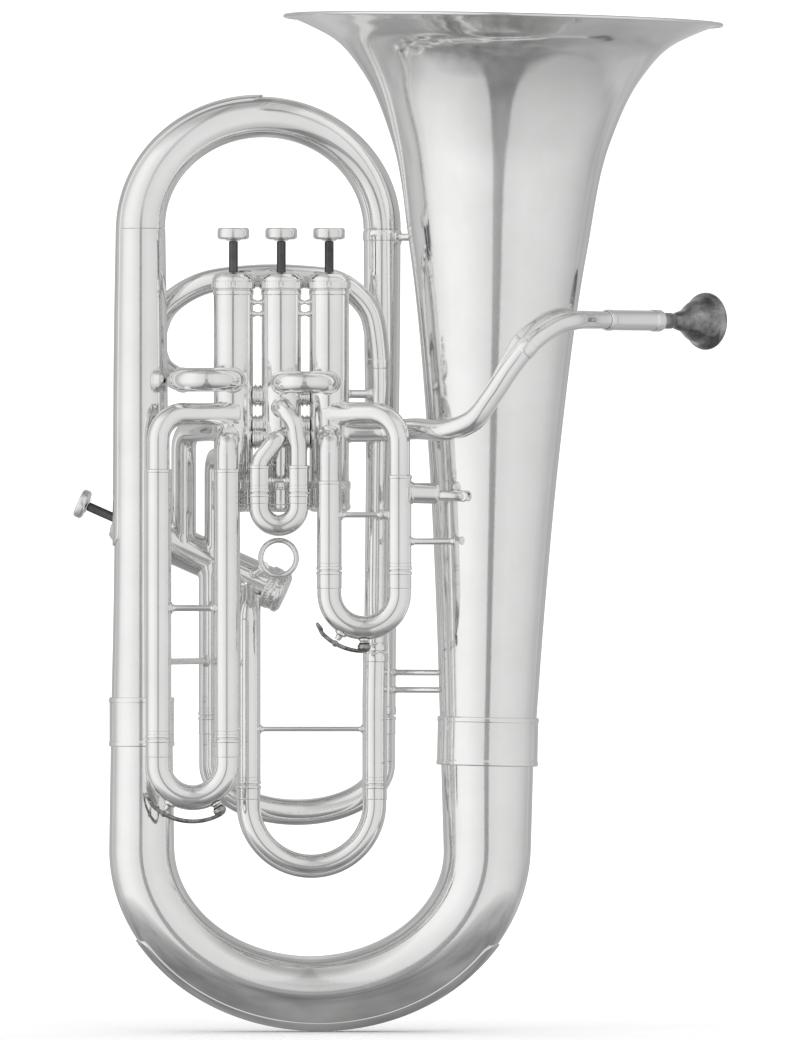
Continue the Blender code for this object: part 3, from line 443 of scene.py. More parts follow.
class Shape:
    """Closed shells in millimetres, gathered into one mesh."""

    def __init__(self):
        self.verts = []
        self.faces = []

    def ring(self, place, normal, other, radius, sides, flutes=0, depth=0.0):
        first = len(self.verts)
        for k in range(sides):
            angle = math.tau * k / sides
            size = radius - depth * (0.5 - 0.5 * math.cos(angle * flutes)) if flutes else radius
            self.verts.append(place + normal * size * math.cos(angle) + other * size * math.sin(angle))
        return list(range(first, first + sides))

    def skin(self, rings, closed=False):
        pairs = list(zip(rings, rings[1:]))
        if closed:
            pairs.append((rings[-1], rings[0]))
        for first, second in pairs:
            if len(first) == 1 or len(second) == 1:
                tip, ring = (first[0], second) if len(first) == 1 else (second[0], first)
                self.faces += [(tip, ring[k], ring[(k + 1) % len(ring)]) for k in range(len(ring))]
                continue
            count = len(first)
            self.faces += [(first[k], first[(k + 1) % count], second[(k + 1) % count], second[k])
                           for k in range(count)]

    def lid(self, ring):
        """Close a ring with a fan."""
        centre = sum((self.verts[k] for k in ring), Vector()) / len(ring)
        self.verts.append(centre)
        self.skin([ring, [len(self.verts) - 1]])

    def turn(self, outline, base, axis, sides=64, flutes=0, depth=0.0, fluted=()):
        """A turned piece from a closed outline of (radius, height); flutes cut the heights in fluted."""
        normal = frame_normals([axis])[0]
        other = axis.cross(normal)
        rings = []
        for radius, height in outline:
            centre = base + axis * height
            if radius == 0.0:
                self.verts.append(centre)
                rings.append([len(self.verts) - 1])
                continue
            cut = depth if fluted and fluted[0] < height < fluted[1] and radius > fluted[2] else 0.0
            rings.append(self.ring(centre, normal, other, radius, sides, flutes if cut else 0, cut))
        open_axis = outline[0][0] == 0.0 and outline[-1][0] == 0.0
        self.skin(rings, closed=not open_axis)
        return self

    def tube(self, samples, stations, sides=TUBE_SIDES, ends=(None, None)):
        """A hollow tube; stations are (distance, outer radius, bore radius) and ends name what it meets."""
        marks = marks_of(samples)
        rows = [(mark, place, heading, *value_at(stations, mark))
                for (place, heading), mark in zip(samples, marks)
                if all(abs(mark - station[0]) > 0.25 for station in stations)]
        for order, (distance, outer, bore) in enumerate(stations):
            place, heading = place_at(samples, marks, distance)
            rows.append((distance + order * 1e-6, place, heading, outer, bore))
        rows.sort(key=lambda row: row[0])
        normals = frame_normals([row[2] for row in rows])
        outers, bores = [], []
        for (_, place, heading, outer, bore), normal in zip(rows, normals):
            other = heading.cross(normal)
            outers.append(self.ring(place, normal, other, outer, sides))
            bores.append(self.ring(place, normal, other, bore, sides))
        for last, meets in ((0, ends[0]), (-1, ends[1])):
            if meets:
                outers = self.saddle(outers, bores, rows, normals, last, meets, sides)
        self.skin(outers)
        self.skin(bores)
        self.skin([outers[0], bores[0]])
        self.skin([outers[-1], bores[-1]])
        return self

    def saddle(self, outers, bores, rows, normals, last, meets, sides):
        """Shape a tube's end to the round wall it is soldered to, with a small fillet of solder."""
        base, axis, wall = meets
        _, place, heading, outer, bore = rows[last]
        toward = heading if last == -1 else -heading
        normal = normals[last]
        other = heading.cross(normal)
        rays = [normal * math.cos(math.tau * k / sides) + other * math.sin(math.tau * k / sides)
                for k in range(sides)]
        for ring, radius in ((bores[last], bore), (outers[last], outer + 1.0)):
            for vertex, ray in zip(ring, rays):
                self.verts[vertex] = self.meet(place + ray * radius, toward, base, axis, wall - SOLDER_SINK)
        extra = []
        for proud, lift in SOLDER_FILLET:
            first = len(self.verts)
            self.verts += [self.meet(place + ray * (outer + proud), toward, base, axis, wall + lift)
                           for ray in rays]
            extra.append(list(range(first, first + sides)))
        keep = [ring for ring, row in zip(outers, rows) if ring is not outers[last]
                and self.clear_of(row, outer, base, axis, wall + SOLDER_REACH)]
        if last == -1:
            return keep + extra + [outers[-1]]
        return [outers[0]] + extra[::-1] + keep

    @staticmethod
    def meet(start, toward, base, axis, wall):
        """Where a line of the tube's skin, followed from outside, reaches the round wall."""
        start = start - toward * 40.0
        gap = start - base
        across = gap - axis * gap.dot(axis)
        step = toward - axis * toward.dot(axis)
        a, b, c = step.length_squared, across.dot(step), across.length_squared - wall * wall
        inside = max(b * b - a * c, 0.0)
        return start + toward * ((-b - math.sqrt(inside)) / a)

    @staticmethod
    def clear_of(row, radius, base, axis, wall):
        """True if the tube's whole ring is still outside the round wall."""
        _, place, heading, _, _ = row
        gap = place - base
        across = gap - axis * gap.dot(axis)
        side = heading.cross(across).length / max(across.length, 1e-6)
        return across.length > wall + radius * min(1.0, side)

    def bar(self, samples, radius, sides=24, flat=1.0, taper=None):
        """A solid bar with eased ends; flat squeezes it across its own plane."""
        marks = marks_of(samples)
        length = marks[-1]
        ease = min(radius * 0.35, length * 0.1)
        rows = [(0.0, radius - ease), (ease * 0.3, radius - ease * 0.3), (ease, radius)]
        stations = rows + [(length - distance, size) for distance, size in reversed(rows)]
        spots = sorted(set([m for m in marks if ease < m < length - ease] + [s[0] for s in stations]))
        placed = [place_at(samples, marks, spot) for spot in spots]
        normals = frame_normals([heading for _, heading in placed])
        rings = []
        for spot, (place, heading), normal in zip(spots, placed, normals):
            size = value_at(stations, spot)[0] * (taper(spot / length) if taper else 1.0)
            rings.append(self.ring(place, normal * flat, heading.cross(normal), size, sides))
        self.skin(rings)
        self.lid(rings[0])
        self.lid(rings[-1])
        return self

    def strut(self, start, end, radius, foot=1.9, sides=24):
        """A cross bar with a small soldered foot at each end."""
        start, end = Vector(start), Vector(end)
        axis = (end - start).normalized()
        length = (end - start).length
        wide = radius * foot
        outline = ((0.0, -0.9), (wide, -0.9), (wide, 0.35), (radius * 1.25, 1.0), (radius, 2.2),
                   (radius, length - 2.2), (radius * 1.25, length - 1.0), (wide, length - 0.35),
                   (wide, length + 0.9), (0.0, length + 0.9))
        return self.turn(softened(outline, 0.4), start, axis, sides)

    def bead(self, centre, axis, radius, width, proud=0.5, sides=TUBE_SIDES):
        """A rounded band round a tube."""
        low = radius - 0.3
        outline = [(low, -width / 2), (low, width / 2)]
        outline += [(radius + proud * math.sin(math.pi * k / 8), width / 2 * math.cos(math.pi * k / 8))
                    for k in range(9)]
        return self.turn(outline, centre, axis, sides)


def plain_object(name, shape):
    """A shape as an object in the scene, in metres, with its faces turned outwards."""
    mesh = bpy.data.meshes.new(name)
    mesh.from_pydata([tuple(v * MM) for v in shape.verts], [], shape.faces)
    bm = bmesh.new()
    bm.from_mesh(mesh)
    bmesh.ops.recalc_face_normals(bm, faces=bm.faces)
    bm.to_mesh(mesh)
    bm.free()
    made = bpy.data.objects.new(name, mesh)
    bpy.context.scene.collection.objects.link(made)
    return made


def smooth_shaded(made):
    made.data.shade_smooth()
    made.data.set_sharp_from_angle(angle=SHARP_EDGE)


def finish(name, shape, look, slot, *nodes):
    """A smooth piece that rides on the body of its CAD nodes."""
    made = plain_object(name, shape)
    smooth_shaded(made)
    made.data.materials.append(look)
    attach(made, BODY_OF[nodes[0]])
    return made


def stand_for(name, shape, look, slot, *nodes):
    """A finished piece that takes the place of its CAD nodes."""
    made = finish(name, shape, look, slot, *nodes)
    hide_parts(*nodes)
    return made


def plated(node, shape, look=SILVER, slot="silver_plate"):
    """The fine piece for one CAD node."""
    return stand_for(f"{node}_fine", shape, look, slot, node)


# Bell and branches ---------------------------------------------------------------------------

def offset_outline(curve, depth):
    """The curve moved inwards by a wall's thickness."""
    moved = []
    for index, (radius, height) in enumerate(curve):
        before, after = curve[max(index - 1, 0)], curve[min(index + 1, len(curve) - 1)]
        dr, dh = after[0] - before[0], after[1] - before[1]
        size = math.hypot(dr, dh)
        moved.append((radius - dh / size * depth, height + dr / size * depth))
    return moved


def make_bell():
    curve = smooth_curve([(radius, BELL_LENGTH - depth) for depth, radius in reversed(BELL_OUTLINE)], 12)
    bore = offset_outline(curve, BELL_WALL)
    wire_r, wire_h = BELL_OUTLINE[0][1] + 0.55, BELL_LENGTH - 0.45
    wire = [(wire_r + RIM_WIRE * math.cos(math.radians(a)), wire_h + RIM_WIRE * math.sin(math.radians(a)))
            for a in range(-150, 151, 20)]
    outline = curve[:-1] + wire + bore[-2::-1]
    bell = plated("bell", Shape().turn(outline, BELL_FOOT, BELL_AXIS, 192))
    bell.data.materials.append(BELL_INSIDE)
    for face in bell.data.polygons:
        middle = face.center / MM - BELL_FOOT
        from_axis = middle - BELL_AXIS * middle.dot(BELL_AXIS)
        if from_axis.length < BELL_RIM_EDGE and face.normal.dot(from_axis) < 0.0:
            face.material_index = 1


def ferrule_outline(low, high, bore, radius):
    """A sleeve with a rounded bead near each end."""
    side = [(bore, low), (radius - 0.4, low), (radius, low + 0.8), (radius, low + 3.0),
            (radius - 0.35, low + 3.8), (radius - 0.35, high - 3.8), (radius, high - 3.0),
            (radius, high - 0.8), (radius - 0.4, high), (bore, high)]
    return softened(side, 0.5)


def make_bottom_bow():
    bow = half_ellipse((-BOW_HALF_SPAN, 0.0, BOW_CENTRE_Z), (BOW_HALF_SPAN, 0.0, BOW_CENTRE_Z),
                       -BOW_DROP, 96)
    left = (Vector((-BOW_HALF_SPAN, 0.0, BOW_TOP_LEFT)), -Z_AXIS)
    right = (Vector((BOW_HALF_SPAN, 0.0, BOW_TOP_RIGHT)), Z_AXIS)
    samples = [left, *bow, right]
    marks = marks_of(samples)
    radii = list(zip((0.0, marks[len(marks) // 2], marks[-1]), BOW_RADIUS))
    stations = [(mark, radius, radius - WALL) for mark, radius in radii]
    plated("bottom_bow", Shape().tube(samples, stations, 80))

    rings = [(place, heading, value_at(stations, mark)[0])
             for (place, heading), mark in zip(samples, marks)]
    first, last = 1 + 96 * 2 // 12, 1 + 96 * 10 // 12
    guard = guard_strip(rings[first:last + 1], 1.0)
    plated("bottom_bow_guard", guard, GUARD, "guard_silver")

    foot = Vector((-BOW_HALF_SPAN, 0.0, 214.05))
    plated("branch_ferrule", Shape().turn(ferrule_outline(-17.0, 17.0, 21.85, 22.7), foot, Z_AXIS, 96))
    plated("bell_bow_ferrule",
           Shape().turn(ferrule_outline(-16.5, 17.2, 34.2, 35.2), BELL_FOOT, BELL_AXIS, 128))


def guard_strip(rings, outward_sign, tip=9.0):
    """A thin plate soldered on the outside of a bow, with rounded edges and rounded ends."""
    shape = Shape()
    marks = marks_of([(place, heading) for place, heading, _ in rings])
    rise = GAP + GUARD_THICKNESS
    sections = []
    for (place, heading, radius), mark in zip(rings, marks):
        inset = min(mark, marks[-1] - mark)
        share = math.sqrt(max(0.0, 1 - (1 - min(inset / tip, 1.0))**2))
        half = GUARD_HALF_ANGLE * (0.3 + 0.7 * share)
        outward = Y_AXIS.cross(heading).normalized() * outward_sign
        side = heading.cross(outward)
        edge = [(half - inward / radius, rise * lift)
                for inward, lift in ((0.0, 0.1), (0.15, 0.55), (0.5, 0.85), (1.1, 1.0))]
        across = [(half * (1 - k / 8) * 0.9, rise) for k in range(1, 8)]
        top = [(-angle, lift) for angle, lift in edge + across] + [(0.0, rise)]
        top += [(-angle, lift) for angle, lift in reversed(top[:-1])]
        section = top + [(angle, -0.12) for angle, _ in reversed(top)]
        first = len(shape.verts)
        for angle, lift in section:
            ray = outward * math.cos(angle) + side * math.sin(angle)
            shape.verts.append(place + ray * (radius + lift))
        sections.append(list(range(first, first + len(section))))
    shape.skin(sections)
    for section in (sections[0], sections[-1]):
        count = len(section)
        for k in range(count // 2 - 1):
            shape.faces.append((section[k], section[k + 1], section[count - 2 - k], section[count - 1 - k]))
    return shape


def upright(x, y, low, high, count=24):
    heading = Z_AXIS if high > low else -Z_AXIS
    return [(Vector((x, y, low + (high - low) * k / count)), heading) for k in range(count + 1)]


def bell_radius(z):
    height = (z - BELL_FOOT.z) / BELL_AXIS.z
    table = [(BELL_LENGTH - depth, radius) for depth, radius in reversed(BELL_OUTLINE)]
    return value_at(table, height)[0], BELL_FOOT.x + BELL_AXIS.x * height


def bell_side(z, dx, dy, clear=2 * GAP):
    """A point by the bell's outside, in the direction (dx, dy) from its axis."""
    radius, axis_x = bell_radius(z)
    return Vector((axis_x, 0.0, z)) + Vector((dx, dy, 0.0)).normalized() * (radius + clear)


def smooth_radii(table, wall):
    """Stations every few millimetres along a soft curve through (distance, radius)."""
    return [(distance, radius, radius - wall) for distance, radius in smooth_curve(table, 6)]


def make_branches():
    start = BRANCH_OUTLINE[0][0]
    left = upright(BRANCH_X, 0.0, start, BRANCH_OUTLINE[-1][0])
    left_table = [(z - start, radius) for z, radius in BRANCH_OUTLINE]
    plated("left_branch", Shape().tube(left, smooth_radii(left_table, WALL), 72))

    bow = half_ellipse((BRANCH_X, 0.0, TOP_BOW_Z), (RIGHT_X, RIGHT_Y, TOP_BOW_Z), TOP_BOW_RISE, 72)
    marks = marks_of(bow)
    bow_table = list(zip((0.0, marks[36], marks[-1]), TOP_BOW_RADIUS))
    bow_stations = smooth_radii(bow_table, WALL)
    shape = Shape().tube(bow, bow_stations, 64)
    plated("top_bow", shape)

    left_curve = smooth_curve(left_table, 6)
    guard = [(place, heading, value_at(left_curve, place.z - start)[0])
             for place, heading in upright(BRANCH_X, 0.0, 336.0, 555.4, 48)]
    guard += [(place, heading, value_at(bow_stations, mark)[0])
              for (place, heading), mark in list(zip(bow, marks))[1:37]]
    plated("top_bow_guard", guard_strip(guard, -1.0), GUARD, "guard_silver")

    top = RIGHT_OUTLINE[0][0]
    right = upright(RIGHT_X, RIGHT_Y, top, RIGHT_OUTLINE[-1][0])
    sleeve = SLIDES["main_slide"]["radius"] - SLEEVE_WALL
    table = smooth_curve([(top - z, radius) for z, radius in RIGHT_OUTLINE], 6)
    stations = [(distance, radius, max(radius - WALL, sleeve) if distance > top - 300.0 else radius - WALL)
                for distance, radius in table]
    shape = Shape().tube(right, stations, 56)
    for z in (236.0, 248.0):
        shape.strut((54.95, 28.8, z), bell_side(z, -0.92, 0.39), 2.1)
    shape.strut((58.3, 27.4, 550.0), bell_side(550.0, -0.93, 0.37), 2.6, foot=2.4)
    shape.bead(Vector((RIGHT_X, RIGHT_Y, 551.0)), Z_AXIS, 12.9, 7.0, 0.5, 56)
    shape.bead(Vector((RIGHT_X, RIGHT_Y, 221.6)), Z_AXIS, 9.3, 6.0, 0.55)
    plated("right_branch", shape)


# Valves --------------------------------------------------------------------------------------

def valve_frames():
    frames = {}
    for number in range(3):
        base = Vector((VALVE_1_X - VALVE_PITCH * number, VALVE_Y, VALVE_BASE_Z))
        frames[f"valve_{number + 1}"] = (base, Z_AXIS, TOP_SPEC)
    frames["valve_4"] = (SIDE_VALVE_BASE, SIDE_VALVE_AXIS, SIDE_SPEC)
    return frames


VALVES = valve_frames()


def casing_of(valve):
    """What a tube's end needs to know of the casing that it meets."""
    base, axis, _ = VALVES[valve]
    return base, axis, CASING_RADIUS


def spring_shape(base, axis, low, high, radius=8.6, wire=0.75, turns=6):
    normal = frame_normals([axis])[0]
    other = axis.cross(normal)
    count = turns * 28
    rise = (high - low - 2 * wire) / count
    samples = []
    for k in range(count + 1):
        angle = math.tau * k / 28
        ray = normal * math.cos(angle) + other * math.sin(angle)
        along = -normal * math.sin(angle) + other * math.cos(angle)
        place = base + axis * (low + wire + rise * k) + ray * radius
        samples.append((place, (along * radius * math.tau / 28 + axis * rise).normalized()))
    return Shape().bar(samples, wire, 8)


def boolean(target, tool, operation):
    step = target.modifiers.new(operation.lower(), "BOOLEAN")
    step.operation = operation
    step.solver = "EXACT"
    step.object = tool
    result = bpy.data.meshes.new_from_object(target.evaluated_get(bpy.context.evaluated_depsgraph_get()))
    target.modifiers.clear()
    target.data = result
    bpy.data.objects.remove(tool)


def make_piston(name, base, axis, spec):
    """A piston with two cross passages, its stem and the screw that holds the button."""
    top = spec["casing"] - 5.0
    low = top - spec["piston"]
    seat = spec["button"] - GAP
    outline = ((0.0, low), (PISTON_RADIUS, low), (PISTON_RADIUS, top), (STEM_RADIUS, top),
               (STEM_RADIUS, seat), (2.0, seat), (2.0, seat + 4.4), (0.0, seat + 4.4))
    piston = stand_for(f"{name}_piston_fine", Shape().turn(softened(outline, 0.25, 2), base, axis, 64),
                       STEM, "piston_alloy", f"{name}_piston")
    side = frame_normals([axis])[0]
    for share, across in ((0.3, side), (0.68, axis.cross(side))):
        middle = base + axis * (low + spec["piston"] * share)
        port = Shape().bar(straight(middle - across * 20.0, middle + across * 20.0), 5.4, 40)
        boolean(piston, plain_object("port", port), "DIFFERENCE")
    smooth_shaded(piston)


def make_valve(name, base, axis, spec):
    """One valve's casing, caps, piston, button and spring."""
    top, cap = spec["lid_top"], spec["cap"]
    floor = 3.0
    under = ((3.0, 0.0), (7.5, 0.0), (8.4, 0.9), (10.6, 0.9), (11.8, 0.0), (CAP_RADIUS - 0.2, 2.0),
             (CAP_RADIUS, 3.2), (CAP_RADIUS, 4.8), (CAP_RADIUS - 0.55, 5.3), (CAP_RADIUS - 0.55, cap - 6.4),
             (CAP_RADIUS, cap - 5.8), (CAP_RADIUS, cap - 1.0), (CAP_RADIUS - 0.6, cap),
             (CASING_RADIUS + FIT, cap), (CASING_RADIUS + FIT, floor), (3.0, floor))
    knurled = (cap - 5.6, cap - 1.2, CAP_RADIUS - 0.4)
    plated(f"{name}_bottom_cap",
           Shape().turn(softened(under, 0.45), base, axis, 192, CAP_FLUTES, 0.32, knurled))

    lid = spec["lid"]
    casing = [(CASING_RADIUS, floor + GAP), (CASING_RADIUS, lid - 4.2), (CASING_RADIUS + 0.45, lid - 3.7),
              (CASING_RADIUS + 0.45, lid - 1.1), (CASING_RADIUS, lid - 0.6),
              (CASING_RADIUS, spec["casing"]), (CASING_BORE, spec["casing"]), (CASING_BORE, floor + GAP)]
    shape = Shape().turn(softened(casing, 0.3), base, axis, 80)
    if name == "valve_2":
        add_casing_bars(shape, base)
    plated(f"{name}_casing", shape)

    wide = TOP_CAP_RADIUS
    over = ((CASING_RADIUS + FIT, lid), (wide - 0.5, lid), (wide, lid + 0.7), (wide, lid + 5.0),
            (wide - 0.5, lid + 5.6), (wide - 0.5, top - 4.6), (wide - 1.2, top - 3.1),
            (12.4, top - 1.0), (9.4, top - 0.7), (8.6, top), (STEM_RADIUS + 2.2, top),
            (STEM_RADIUS + FIT + 0.4, top - 0.5), (STEM_RADIUS + FIT, top - 1.0),
            (STEM_RADIUS + FIT, top - 3.0), (CASING_RADIUS + FIT, spec["casing"] + GAP))
    knurled = (lid + 0.9, lid + 4.8, wide - 0.3)
    plated(f"{name}_top_cap",
           Shape().turn(softened(over, 0.5), base, axis, 192, CAP_FLUTES, 0.22, knurled))

    make_piston(name, base, axis, spec)

    low, wide, tall = spec["button"], spec["button_radius"], spec["button_height"]
    button = ((0.0, low + 4.8), (2.35, low + 4.8), (2.35, low), (4.9, low), (5.3, low + 0.7),
              (wide - 1.6, low + 0.9), (wide, low + 2.2), (wide, low + tall * 0.8),
              (wide - 0.5, low + tall - 0.5), (wide - 1.6, low + tall), (wide - 2.4, low + tall - 0.35),
              (0.0, low + tall - 0.6))
    plated(f"{name}_button", Shape().turn(softened(button, 0.55), base, axis, 80), BUTTON)

    spring_low, spring_high = floor + GAP, spec["casing"] - 5.0 - spec["piston"] - GAP
    spring = plated(f"{name}_spring", spring_shape(base, axis, spring_low, spring_high),
                    SPRING, "spring_steel")
    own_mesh(spring)


def add_casing_bars(shape, middle):
    """The thin bars and stout knuckles that tie the middle casing to its two neighbours."""
    reach = VALVE_PITCH - CASING_RADIUS
    for height, radius, foot in CASING_BARS:
        for sign in (-1.0, 1.0):
            start = middle + X_AXIS * sign * (CASING_RADIUS - 0.1) + Z_AXIS * height
            end = middle + X_AXIS * sign * (reach - 0.5) + Z_AXIS * height
            shape.strut(start, end, radius, foot, 32)


# Slides --------------------------------------------------------------------------------------

def make_crook(spec):
    """The moving U of a slide: inner legs, ferrules at the joint and the bow."""
    (left, right), (y_left, y_right) = spec["legs"], spec["y"]
    joint, radius = spec["joint"] - GAP, spec["radius"]
    leg = radius - SLEEVE_WALL - FIT
    top = spec["joint"] + spec["overlap"]
    bow = half_ellipse((left, y_left, spec["bow"]), (right, y_right, spec["bow"]), -spec["drop"], 60)
    samples = [(Vector((left, y_left, top)), -Z_AXIS), *bow, (Vector((right, y_right, top)), Z_AXIS)]
    length = marks_of(samples)[-1]
    drop, run = top - joint, top - spec["bow"]
    ferrule = min(12.0, (joint - spec["bow"]) * 0.75)
    half = [(0.0, leg, leg - WALL), (drop, leg, leg - WALL), (drop + 0.02, radius - 0.25, leg - WALL),
            (drop + 0.3, radius, leg - WALL), (drop + ferrule, radius, leg - WALL),
            (drop + ferrule + 0.3, radius - 0.3, leg - WALL), (run, radius - 0.3, leg - WALL)]
    stations = half + [(length - distance, outer, bore) for distance, outer, bore in reversed(half)]
    shape = Shape().tube(samples, stations)
    for x, y in ((left, y_left), (right, y_right)):
        shape.bead(Vector((x, y, joint - 1.5)), Z_AXIS, radius, 2.2, 0.45)
        shape.bead(Vector((x, y, joint - ferrule)), Z_AXIS, radius - 0.2, 1.2, 0.35)
    return shape


def sleeve_rings(shape, x, y, joint, radius):
    """The bead at a sleeve's open end, and a fine line above it."""
    shape.bead(Vector((x, y, joint + 1.6)), Z_AXIS, radius, 2.4, 0.38)
    shape.bead(Vector((x, y, joint + 5.2)), Z_AXIS, radius, 0.9, 0.14)


def plain_sleeve(shape, samples, radius, valve=None):
    """A slide's outer leg without a knuckle, cut to a valve's casing where it meets one."""
    bore = radius - SLEEVE_WALL
    length = marks_of(samples)[-1]
    stations = ((0.0, radius - 0.3, bore), (0.3, radius, bore), (length, radius, bore))
    shape.tube(samples, stations, ends=(None, casing_of(valve) if valve else None))
    start = samples[0][0]
    sleeve_rings(shape, start.x, start.y, start.z, radius)
    return shape


def sleeve_tube(shape, samples, spec, sleeve_length, valve, upper=KNUCKLE_RADIUS):
    """A slide's outer leg, stepped down to the knuckle that enters the valve."""
    radius = spec["radius"]
    bore = radius - SLEEVE_WALL
    length = marks_of(samples)[-1]
    stations = [(0.0, radius - 0.3, bore), (0.3, radius, bore), (sleeve_length - 4.0, radius, bore),
                (sleeve_length - 0.5, radius, min(bore, upper - WALL)),
                (sleeve_length, radius - 0.4, upper - WALL),
                (sleeve_length + 0.02, upper, upper - WALL), (length, upper, upper - WALL)]
    shape.tube(samples, stations, ends=(None, casing_of(valve)))
    sleeve_rings(shape, samples[0][0].x, samples[0][0].y, samples[0][0].z, radius)
    if upper < radius:
        place, heading = place_at(samples, marks_of(samples), sleeve_length - 1.4)
        shape.bead(place, heading, radius, 2.2, 0.4)
    return shape


def make_slide_1():
    spec = SLIDES["slide_1"]
    left, right = spec["legs"]
    y, joint, radius = spec["y"][0], spec["joint"], spec["radius"]
    shape = Shape()
    outer = bent((left, y, joint), (left, y, 411.0, 11.0), (left, -25.5, 411.0))
    sleeve_tube(shape, outer, spec, 62.0, "valve_1")
    outer = bent((right, y, joint), (right, y, 427.6, 20.0), (17.5, -23.8, 427.6))
    sleeve_tube(shape, outer, spec, 66.0, "valve_1")
    shape.strut((left + radius, y, 357.4), (right - radius - 4.0, y, 357.4), 2.0)
    shape.turn(softened(((0.0, -0.6), (3.4, -0.6), (3.4, 5.0), (0.0, 5.0)), 0.8),
               Vector((right - radius - 4.5, y, 357.4)), X_AXIS, 32)
    add_bell_brace(shape, right + radius, y)
    plated("slide_1_frame", shape)


def add_bell_brace(shape, x, y):
    """The stout collar and arm, and the thin lower arm, that tie the first slide to the bell."""
    collar = ((0.0, -1.2), (7.9, -1.2), (7.9, 0.6), (7.2, 1.4), (7.2, 16.6), (6.4, 18.2), (4.2, 19.4),
              (0.0, 19.4))
    start = Vector((x, y, 372.5))
    shape.turn(softened(collar, 0.6), start, (Vector((86.0, -39.0, 372.0)) - start).normalized(), 48)
    bell_r, bell_x = bell_radius(371.0)
    foot_x = 104.0
    foot_y = -math.sqrt(bell_r**2 - (bell_x - foot_x)**2)
    foot = Vector((foot_x - 2.0, foot_y - 4.2, 370.0))
    shape.bar(straight((84.0, -39.1, 371.0), foot), 3.6, 32)
    shape.turn(softened(((0.0, -2.2), (3.5, -1.9), (3.9, -1.2), (3.2, -0.4), (0.0, 0.2)), 0.4),
               foot - Vector((0.0, 0.2, 0.0)), (foot - Vector((bell_x, 0.0, 370.0))).normalized(), 40)
    shape.strut((x, y, 339.0), (96.0, -37.8, 339.0), 2.2, 1.35)


def make_slide_2():
    spec = SLIDES["slide_2"]
    left, right = spec["legs"]
    y, joint, radius = spec["y"][0], spec["joint"], spec["radius"]
    high = bent((right, y, joint), (right, y, 404.0, 12.0), (-13.0, -41.5, 420.0, 10.0),
                (-21.5, -37.0, 431.5, 8.0), (-22.9, -25.5, 431.5))
    low = bent((left, y, joint), (left, y, 394.0, 10.0), (-25.0, -39.0, 410.5, 9.0), (-22.0, -25.5, 411.0))
    shape = Shape()
    for samples in (high, low):
        sleeve_tube(shape, samples, spec, 19.0, "valve_2", upper=6.3)
    shape.strut((left + radius, y, 381.0), (right - radius, y, 381.0), 1.6)
    plated("slide_2_frame", shape)


def make_slide_3():
    spec = SLIDES["slide_3"]
    left, right = spec["legs"]
    y, joint, radius = spec["y"][0], spec["joint"], spec["radius"]
    shape = Shape()
    for outer in (bent((left, y, joint), (left, y, 427.0, 18.0), (-62.5, -25.5, 427.0)),
                  bent((right, y, joint), (right, y, 410.6, 11.0), (right, -25.5, 410.6))):
        sleeve_tube(shape, outer, spec, 186.0, "valve_3")
    shape.strut((left + radius, y, 293.0), (right - radius, y, 293.0), 2.2)
    start = Vector((left, y, 256.0))
    goal = Vector((SLIDES["main_slide"]["legs"][0], SLIDES["main_slide"]["y"][0], 256.0))
    ray = (goal - start).normalized()
    shape.strut(start + ray * radius, goal - ray * (SLIDES["main_slide"]["radius"] + 0.4), 2.2)
    plated("slide_3_frame", shape)


def make_slide_4():
    spec = SLIDES["slide_4"]
    left, right = spec["legs"]
    y, joint, radius = spec["y"][0], spec["joint"], spec["radius"]
    shape = Shape()
    inner = bent((left, y, joint), (left, y, 289.0, 14.0), (left, 22.0, 303.75))
    plain_sleeve(shape, inner, radius, "valve_4")
    outer = bent((right, y, joint), (right, y, 230.0, 400.0), (42.2, 8.2, 262.0))
    plain_sleeve(shape, outer, radius)
    shape.bead(Vector((42.2, 8.2, 258.6)), Z_AXIS, radius, 6.4, 0.45)
    shape.strut((left + radius, y, 209.0), (right - radius, y, 209.0), 1.7)
    plated("slide_4_frame", shape)


def make_main_slide():
    spec = SLIDES["main_slide"]
    x, y, radius = spec["legs"][0], spec["y"][0], spec["radius"]
    samples = straight((x, y, spec["joint"]), (x, y, 318.0))
    plated("main_slide_sleeve", plain_sleeve(Shape(), samples, radius, "valve_4"))


# Water keys ----------------------------------------------------------------------------------

def polar(centre, distance, degrees):
    angle = math.radians(degrees)
    return centre + Vector((math.cos(angle), 0.0, math.sin(angle))) * distance


